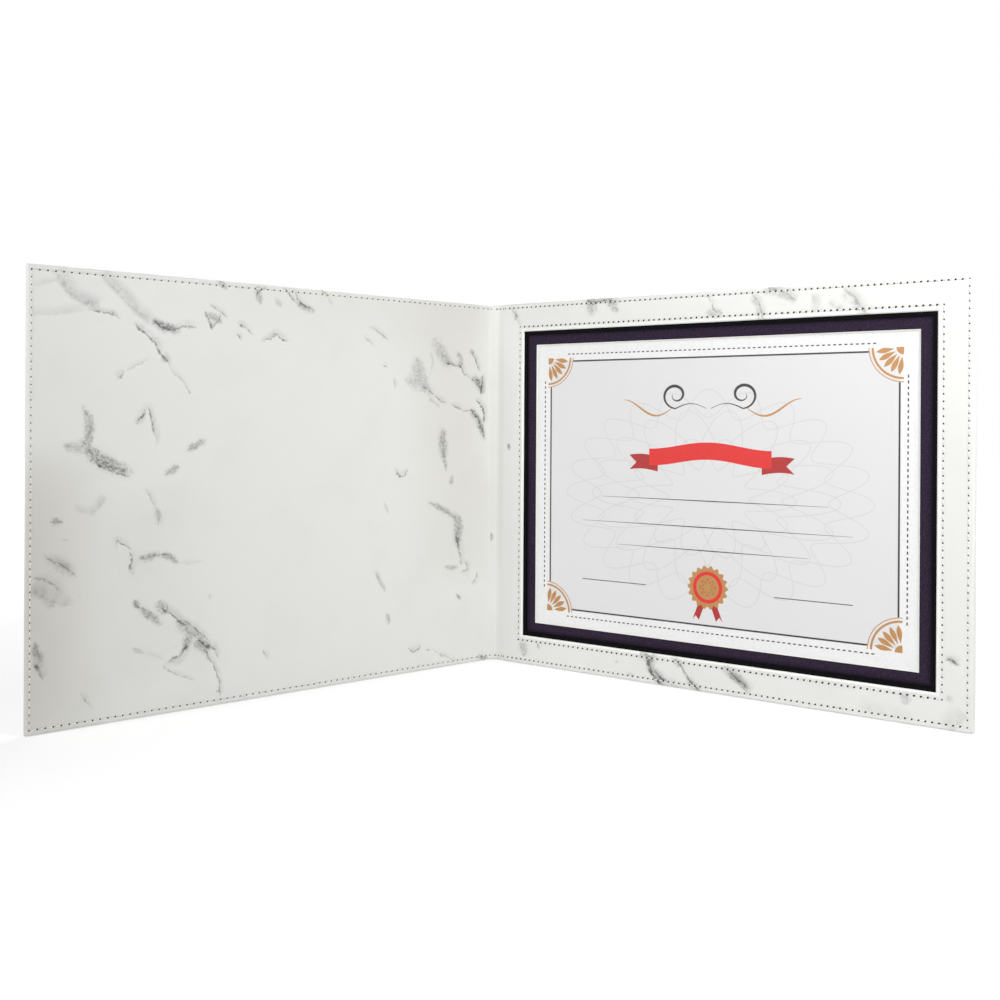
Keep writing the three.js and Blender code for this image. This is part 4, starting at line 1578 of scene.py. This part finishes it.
@dataclass
class CertificatePrint:
    """The printed design of the blank certificate, one thin film for each ink.

    The design is a tinted panel in a dark rule with fan corners, a scroll, a ribbon, blank rules and a
    rosette with two tails. Each film is a strip between two courses, raised by a few hundredths. Its sizes
    are in millimetres, from the middle of the mat's opening.

    Attributes:
        plan: the holder's sizes.
        film: height of a film, drawn thicker than real ink so that the films stay apart.
        panel_half: half the panel's width and height.
        rule_half: half the length of the panel's level and upright rules.
        dash_half: how far the dashed rule lies from the middle, across and up.
        dash_reach: half the length of the dashed rule's level and upright runs.
        dash_pitch: spacing of the dashes.
        dash_length: length of a dash.
        fan_root: place of a corner fan's root, across and up.
        ribbon_half: half the ribbon's length.
        rosette_middle: height of the rosette's middle.
        shells: the films made so far.
    """

    plan: HolderPlan
    film: float = 0.02
    panel_half: tuple[float, float] = (113.5, 81.5)
    rule_half: tuple[float, float] = (96.0, 64.0)
    dash_half: tuple[float, float] = (117.6, 85.6)
    dash_reach: tuple[float, float] = (100.0, 68.0)
    dash_pitch: float = 3.2
    dash_length: float = 1.7
    fan_root: tuple[float, float] = (115.2, 83.2)
    ribbon_half: float = 40.0
    rosette_middle: float = -58.0
    shells: dict[Ink, list[Shell]] = field(default_factory=dict)

    def strip(self, ink: Ink, left: Array, right: Array, layer: float = 1, closed: bool = False) -> None:
        """Adds the film between two courses.

        Args:
            ink: the ink.
            left: points of one course, from the middle of the mat's opening.
            right: as many points of the other course.
            layer: height of the film's face, in films.
            closed: whether the courses are closed.
        """
        x0, x1, z0, z1 = self.plan.mat_opening
        sides = np.stack((left, right))
        x, z = sides[..., 0] + (x0 + x1) / 2, sides[..., 1] + (z0 + z1) / 2
        face = self.plan.back.place(x, self.plan.paper_face - self.film * layer, z)
        rear = self.plan.back.place(x, self.plan.paper_face, z)
        self.shells.setdefault(ink, []).append(closed_sheet(face, rear, ring=closed))

    def band(
        self, ink: Ink, path: Array, half_width: Array | float, layer: float = 1, closed: bool = False
    ) -> None:
        """Adds a band along a path, square to its direction.

        Args:
            ink: the ink.
            path: points along its middle.
            half_width: half its width, the same all along or at each point.
            layer: height of the film's face, in films.
            closed: whether the path is closed.
        """
        path = np.asarray(path, dtype=float)
        way = np.gradient(path, axis=0)
        if closed:
            way = np.roll(path, -1, axis=0) - np.roll(path, 1, axis=0)
        way /= np.maximum(np.linalg.norm(way, axis=1, keepdims=True), TINY)
        side = np.stack((-way[:, 1], way[:, 0]), axis=-1) * np.broadcast_to(half_width, len(path))[:, None]
        self.strip(ink, path + side, path - side, layer, closed)

    def panel(self) -> None:
        """Adds the tinted panel, its dark rule and a dashed rule outside it."""
        half_x, half_z = self.panel_half
        edge = np.array((-half_x, half_x))
        low, high = (np.stack((edge, np.full(2, z)), -1) for z in (-half_z, half_z))
        self.strip(Ink.TINT, low, high, 1)
        for sign in (-1, 1):
            x, z = sign * (half_x - 0.5), sign * (half_z - 0.5)
            self.band(Ink.DARK, ((-self.rule_half[0], z), (self.rule_half[0], z)), 0.5, 2)
            self.band(Ink.DARK, ((x, -self.rule_half[1]), (x, self.rule_half[1])), 0.5, 2)
            x, z = sign * self.dash_half[0], sign * self.dash_half[1]
            for start in np.arange(-self.dash_reach[0], self.dash_reach[0], self.dash_pitch):
                self.band(Ink.DARK, ((start, z), (start + self.dash_length, z)), 0.36, 1)
            for start in np.arange(-self.dash_reach[1], self.dash_reach[1], self.dash_pitch):
                self.band(Ink.DARK, ((x, start), (x, start + self.dash_length)), 0.36, 1)

    def ground(self) -> None:
        """Adds a faint guilloche: rings whose radius waves as it goes round, each a little over the last."""
        angle = np.linspace(0, 2 * math.pi, 240, endpoint=False)
        rings = ((9, 44, 12), (9, 44, -12), (12, 60, 9), (12, 60, -9), (7, 28, 10), (7, 28, -10))
        for number, (waves, size, depth) in enumerate(rings):
            radius = size + depth * np.cos(waves * angle)
            path = np.stack((1.45 * radius * np.cos(angle), 0.95 * radius * np.sin(angle) - 4), -1)
            self.band(Ink.FAINT, path, 0.3, 1.2 + 0.1 * number, closed=True)

    def corner_fans(self) -> None:
        """Adds a quarter fan at each corner of the panel: a hub, five petals and two arcs.

        A petal is a lens: its half width follows a sine along its length, fullest near its tip.
        """
        t = np.linspace(0, 1, 11)
        sweep = np.radians(np.linspace(0, 90, 25))
        for corner in np.array(((-1, -1), (-1, 1), (1, -1), (1, 1))):
            root = corner * self.fan_root
            for angle in np.radians(np.linspace(9, 81, 5)):
                way = -corner * (math.cos(angle), math.sin(angle))
                petal = root + way * (5.4 + 9.6 * t[:, None])
                self.band(Ink.GOLD, petal, 0.15 + 1.3 * np.sin(math.pi * t**1.3), 3)
            arc = -corner * np.stack((np.cos(sweep), np.sin(sweep)), -1)
            for radius, half in ((2.1, 2.05), (17.0, 0.6), (19.0, 0.25)):
                self.band(Ink.GOLD, root + radius * arc, half, 3)

    def scroll(self) -> None:
        """Adds two mirrored scrolls at the head: spirals whose radius shrinks along a tapering stroke."""
        t = np.linspace(0, 1, 60)
        turn, radius = math.pi * (1.5 + 2.6 * t), 9.0 * (1 - 0.78 * t)
        curl = np.stack((22 + radius * np.cos(turn), 58 + radius * np.sin(turn) * 0.9), -1)
        lead = np.stack((np.linspace(1.5, 22, 14), 49.9 + 3.0 * np.sin(np.linspace(0, math.pi, 14))), -1)
        stroke = np.concatenate((lead[:-1], curl))
        swell = 0.15 + 0.75 * np.sin(math.pi * np.linspace(0.02, 0.98, len(stroke))) ** 2
        tail = np.stack((np.linspace(24, 58, 24), 50.5 - 5 * np.sin(np.linspace(0, 1.5 * math.pi, 24))), -1)
        thin = 0.12 + 0.5 * np.sin(np.linspace(0.05, math.pi - 0.05, len(tail)))
        for sign in (-1, 1):
            self.band(Ink.DARK, stroke * (sign, 1), swell, 2)
            self.band(Ink.GOLD, tail * (sign, 1), thin, 1.9)

    def ribbon(self) -> None:
        """Adds the blank ribbon: a gently waved band with two notched tails behind it."""
        u = np.linspace(-1, 1, 41)
        body = np.stack((u * self.ribbon_half, 22.0 + 2.2 * np.cos(u * math.pi)), -1)
        self.strip(Ink.RED, body + (0, 5.2), body - (0, 5.2), 4)
        v = np.linspace(0, 1, 9)
        for sign in (-1, 1):
            tail = np.stack((sign * (34 + 20 * v), 15.5 + 1.6 * np.sin(v * 2.6)), -1)
            notch = tail - np.stack((sign * 5.0 * v, 0 * v), -1)
            self.strip(Ink.DEEP_RED, tail + (0, 4.6), notch, 3)
            self.strip(Ink.DEEP_RED, notch, tail - (0, 4.6), 3)

    def rules(self) -> None:
        """Adds blank writing rules, which thin out to their ends, and two short rules at the foot."""
        for height, half in ((-6, 74), (-22, 88), (-36, 62)):
            self.band(Ink.DARK, ((-half, height), (0, height), (half, height)), (0.08, 0.32, 0.08), 2)
        for sign in (-1, 1):
            self.band(Ink.DARK, ((sign * 42, -60), (sign * 88, -60)), 0.25, 2)

    def rosette(self) -> None:
        """Adds the rosette at the foot: a scalloped edge, rings and two notched tails."""
        angle = np.linspace(0, 2 * math.pi, 144, endpoint=False)
        ray = np.stack((np.cos(angle), np.sin(angle)), -1)
        scallop, star = 12.4 + 0.9 * np.cos(18 * angle), 4.2 + 1.2 * np.cos(8 * angle)
        rings = (
            (Ink.GOLD, scallop, 9.6, 4),
            (Ink.RED, 9.6, 7.4, 4),
            (Ink.GOLD, 7.4, 0.05, 4),
            (Ink.DEEP_RED, star, star - 0.5, 5),
        )
        for ink, outer, inner, layer in rings:
            rims = (ray * np.broadcast_to(radius, len(ray))[:, None] for radius in (outer, inner))
            self.strip(ink, *(rim + (0, self.rosette_middle) for rim in rims), layer, closed=True)
        v = np.linspace(0, 1, 7)
        for sign in (-1, 1):
            tail = np.stack((sign * (3.5 + 4.2 * v), self.rosette_middle - 9 - 11 * v), -1)
            notch = tail + np.stack((0 * v, 2.6 * v), -1)
            self.strip(Ink.DEEP_RED, tail - (2.1, 0), notch, 3)
            self.strip(Ink.DEEP_RED, notch, tail + (2.1, 0), 3)

    def build(self, materials: Materials) -> None:
        """Builds one piece for each ink, on the certificate.

        Args:
            materials: the holder's materials.
        """
        self.panel()
        self.ground()
        self.corner_fans()
        self.scroll()
        self.ribbon()
        self.rules()
        self.rosette()
        for ink, shells in self.shells.items():
            starts = np.cumsum([0] + [len(vertices) for vertices, _ in shells[:-1]])
            vertices = np.concatenate([vertices for vertices, _ in shells])
            faces = np.concatenate([faces + start for (_, faces), start in zip(shells, starts)])
            name = f"certificate_{ink.name.lower()}_ink"
            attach(make_piece(name, vertices, faces, materials[ink.value], smooth=False), "certificate")


@dataclass
class Leatherwork:
    """The leatherette of the whole holder with its seams.

    Attributes:
        plan: the holder's sizes.
        materials: the holder's materials.
    """

    plan: HolderPlan
    materials: Materials

    def build(self) -> None:
        """Builds the sheets, the window frame, the turned edge and every seam.

        The veins lie inside as they are listed. Outside, the plain cover's are turned upside down on the
        plain cover and mirrored on the window cover.
        """
        plan, height = self.plan, self.plan.height
        inside = MarblePrint(PLAIN_COVER_VEINS + WINDOW_COVER_VEINS)
        plain, window = MarblePrint(PLAIN_COVER_VEINS), MarblePrint(WINDOW_COVER_VEINS)
        upside_down, mirrored = (
            MarblePrint(tuple(vein.moved(along, up) for vein in PLAIN_COVER_VEINS))
            for along, up in ((lambda s: s, lambda z: height - z), (lambda s: -s, lambda z: z))
        )
        bridge, bridge_fall = plan.spine_face - LINING_BRIDGE, SPINE_EDGE_DEPTH + LINING_BRIDGE
        front_lining = FoldSheet(
            "plain_lining_sheet", plan, plain, ("front_lining", "front_crease_inner"),
            Face.INSIDE, True, plan.width, plan.front_face, bridge, fall=(bridge_fall, EDGE_DEPTH),
        )
        spine_lining = FoldSheet(
            "spine_lining_sheet", plan, inside, ("spine_lining", "back_crease_inner"),
            Face.INSIDE, False, plan.frame_start, plan.frame_face + 0.1, bridge,
            rolled=False, flush=1.6, fall=(bridge_fall, 4.2),
        )
        front_skin = FoldSheet(
            "plain_outer_sheet", plan, upside_down,
            ("front_cover_skin", "front_turn_in", "front_crease_outer"),
            Face.OUTSIDE, True, plan.width, plan.outer_face, plan.outer_face,
        )
        back_skin = FoldSheet(
            "window_cover_outer_sheet", plan, mirrored,
            ("back_cover_skin", "back_crease_outer", "spine_skin"),
            Face.OUTSIDE, False, plan.width, plan.outer_face, plan.outer_face,
        )
        frame_sheet = WindowFrame("window_frame_leatherette", plan, window, ("window_frame",))
        edge = TurnedEdge("window_cover_turned_edge", plan, window, ("back_turn_in",))
        for sheet in (front_lining, spine_lining, front_skin, back_skin, frame_sheet, edge):
            sheet.build(self.materials["marbled_leatherette"])
        self.sew(front_lining, spine_lining, front_skin, back_skin, frame_sheet)

    def sew(
        self,
        front_lining: FoldSheet,
        spine_lining: FoldSheet,
        front_skin: FoldSheet,
        back_skin: FoldSheet,
        frame_sheet: WindowFrame,
    ) -> None:
        """Sews the seam round the open holder, inside and outside, and the seam round the window.

        Args:
            front_lining: the plain cover's lining.
            spine_lining: the spine's lining.
            front_skin: the plain cover's outer skin.
            back_skin: the window cover's outer skin.
            frame_sheet: the window frame.
        """
        plan, half = self.plan, self.plan.spine_width / 2
        low, high = SEAM_INSET, plan.height - SEAM_INSET
        side, edge = SIDE_SEAM_INSET - half - plan.width, half + plan.width - SEAM_INSET
        free_edge = half + plan.frame_start
        x0, x1, z0, z1 = np.array(plan.window) + frame_sheet.seam_offset * np.array((-1, 1, -1, 1))
        round_left, round_right, round_frame = (
            seam_holes(((start, low), (end, low), (end, high), (start, high)), pitch)
            for start, end, pitch in (
                (0, side, PLAIN_PITCH), (0, edge, WINDOW_PITCH), (free_edge + 1.2, edge, WINDOW_PITCH)
            )
        )
        over_low, over_high = (seam_holes(((0, z), (free_edge - 0.8, z)), WINDOW_PITCH) for z in (low, high))
        corners = ((x0 + half, z0), (x1 + half, z0), (x1 + half, z1), (x0 + half, z1))
        round_window = seam_holes(corners, WINDOW_PITCH, closed=True)
        outside = ("back_stitching_outside", "spine_stitching_bottom_outside", "spine_stitching_top_outside")
        rows = (
            ("plain_cover_seam_inside", round_left, front_lining, ("front_stitching_inside",), 0.55),
            ("spine_seam_bottom_inside", over_low, spine_lining, ("spine_stitching_bottom_inside",), 0.6),
            ("spine_seam_top_inside", over_high, spine_lining, ("spine_stitching_top_inside",), 0.6),
            ("window_cover_seam_inside", round_frame, frame_sheet, ("back_stitching_inside",), 0.68),
            ("window_seam", round_window, frame_sheet, ("window_stitching",), 0.74),
            ("plain_cover_seam_outside", round_left, front_skin, ("front_stitching_outside",), 0.55),
            ("window_cover_seam_outside", round_right, back_skin, outside, 0.6),
        )
        for row in rows:
            Seam(*row).build(self.materials)


@dataclass
class BoardsAndCards:
    """The holder's boards, cards and sheet, whose solids are shown as they are with their own finishes.

    Attributes:
        materials: the holder's materials.
    """

    materials: Materials

    def dress(self) -> None:
        """Gives each shown solid its finish."""
        dressed = {
            "greyboard": ("back_board", "front_board", "spine_strip"),
            "black_card": ("backing_sheet", "pocket_spacer", "frame_liner"),
            "certificate_paper": ("certificate",),
        }
        for finish, nodes in dressed.items():
            for node in nodes:
                mesh = frame["nodes"][node].data
                mesh.materials.clear()
                mesh.materials.append(self.materials[finish])
                LOG.info("%s: dressed in %s", node, finish)


@dataclass(frozen=True)
class Viewpoint:
    """The camera: level, turned to the left, with a slight roll and the picture shifted up.

    Attributes:
        place: its place in millimetres.
        heading: its turn from +Y towards -X, in degrees.
        roll: its roll in degrees.
        lens: its focal length on the sensor.
        sensor: the sensor's width in millimetres.
        shift: the picture's shift upwards.
    """

    place: tuple[float, float, float] = (337.9, -478.5, 162.1)
    heading: float = 35.634
    roll: float = 0.333
    lens: float = 40.7
    sensor: float = 36.0
    shift: float = -0.0787

    def build(self) -> None:
        """Makes the camera and gives it to the scene."""
        data = bpy.data.cameras.new("viewpoint")
        data.sensor_width, data.lens, data.shift_y = self.sensor, self.lens, self.shift
        data.clip_start, data.clip_end = 0.01, 50.0
        camera = bpy.data.objects.new("viewpoint", data)
        turn = Matrix.Rotation(math.radians(self.heading), 4, "Z") @ Matrix.Rotation(math.pi / 2, 4, "X")
        tilt = Matrix.Rotation(math.radians(self.roll), 4, "Z")
        camera.matrix_world = Matrix.Translation(Vector(self.place) * MM) @ turn @ tilt
        bpy.context.scene.collection.objects.link(camera)
        bpy.context.scene.camera = camera


@dataclass(frozen=True)
class Softbox:
    """A soft rectangular lamp.

    Attributes:
        name: the lamp's name.
        place: its place in millimetres.
        target: the point that it faces.
        size: its width and height.
        watts: its power.
    """

    name: str
    place: tuple[float, float, float]
    target: tuple[float, float, float]
    size: tuple[float, float]
    watts: float

    def build(self) -> None:
        """Makes the lamp."""
        data = bpy.data.lights.new(self.name, "AREA")
        data.shape = "RECTANGLE"
        data.size, data.size_y = (value * MM for value in self.size)
        data.energy = self.watts
        lamp = bpy.data.objects.new(self.name, data)
        aim = (Vector(self.target) - Vector(self.place)).to_track_quat("-Z", "Y")
        lamp.matrix_world = Matrix.Translation(Vector(self.place) * MM) @ aim.to_matrix().to_4x4()
        bpy.context.scene.collection.objects.link(lamp)


@dataclass(frozen=True)
class Studio:
    """A white floor, white surroundings and soft lamps.

    Attributes:
        floor_half: half the floor's width in millimetres.
        floor_drop: how far the floor lies under the holder.
        ambient: strength of the surroundings' light.
        lamps: the lamps.
    """

    floor_half: float = 4000.0
    floor_drop: float = 0.3
    ambient: float = 0.2
    lamps: tuple[Softbox, ...] = (
        Softbox("right_key", (440, 0, 440), (-60, 100, 120), (300, 300), 1.68),
        Softbox("right_top", (310, -50, 430), (0, 100, 120), (250, 250), 0.38),
        Softbox("front_fill", (-350, -900, 520), (60, 145, 150), (300, 300), 4.1),
        Softbox("rear_fill", (-250, 700, 900), (0, 120, 120), (500, 500), 5.0),
    )

    def build(self) -> None:
        """Makes the floor, the surroundings and the lamps."""
        scene = bpy.context.scene
        scene.view_settings.view_transform = "Standard"
        self.floor()
        world = bpy.data.worlds.new("white_surroundings")
        world.use_nodes = True
        tree = world.node_tree
        tree.nodes.clear()
        lit, seen = (
            add(tree, "ShaderNodeBackground", sockets={"Color": linear(WHITE), "Strength": strength})
            for strength in (self.ambient, 1.0)
        )
        mixed = add(tree, "ShaderNodeMixShader", self.seen(tree), lit, seen)
        add(tree, "ShaderNodeOutputWorld", sockets={"Surface": mixed})
        scene.world = world
        for lamp in self.lamps:
            lamp.build()

    @staticmethod
    def seen(tree: bpy.types.NodeTree) -> bpy.types.Node:
        """Adds the test for rays that show the background: from the camera, off gloss or through glass."""
        path = add(tree, "ShaderNodeLightPath").outputs
        other = add(tree, Op.MOST, path["Is Glossy Ray"], path["Is Transmission Ray"])
        return add(tree, Op.MOST, path["Is Camera Ray"], other)

    def floor(self) -> None:
        """Makes the floor: white card that glows a little to the camera, so that it stays white."""
        corners = np.array(((-1, -1), (1, -1), (1, 1), (-1, 1))) * self.floor_half
        corners = np.concatenate((corners, np.full((4, 1), -self.floor_drop)), axis=1)
        material = bpy.data.materials.new("white_floor_card")
        material.use_nodes = True
        tree = material.node_tree
        tree.nodes.clear()
        card, dim = (
            add(tree, "ShaderNodeBsdfDiffuse", sockets={"Color": linear(colour)})
            for colour in ("#F2F2F2", "#B4B4B4")
        )
        place = add(tree, "ShaderNodeTexCoord").outputs["Object"]
        away = add(tree, "ShaderNodeVectorMath", place, operation="LENGTH").outputs["Value"]
        fade = add(tree, "ShaderNodeMapRange", away, 300 * MM, 1100 * MM, 0.6, 1.0)
        glow = add(tree, "ShaderNodeEmission", sockets={"Color": linear(WHITE), "Strength": fade})
        bright = add(tree, "ShaderNodeAddShader", dim, glow)
        mixed = add(tree, "ShaderNodeMixShader", self.seen(tree), card, bright)
        add(tree, "ShaderNodeOutputMaterial", sockets={"Surface": mixed})
        make_piece("floor", corners, [[0, 1, 2, 3]], material, smooth=False)


def main() -> None:
    """Builds the holder's pieces in order, then the studio and the camera."""
    logging.basicConfig(level=logging.INFO, format="%(name)s: %(message)s")
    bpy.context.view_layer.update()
    plan = HolderPlan.read()
    materials = {finish.name: finish.material() for finish in FINISHES}
    Viewpoint().build()
    Leatherwork(plan, materials).build()
    MatBoard(plan).build(materials)
    BoardsAndCards(materials).dress()
    CertificatePrint(plan).build(materials)
    Studio().build()


if __name__ == "__main__":
    main()
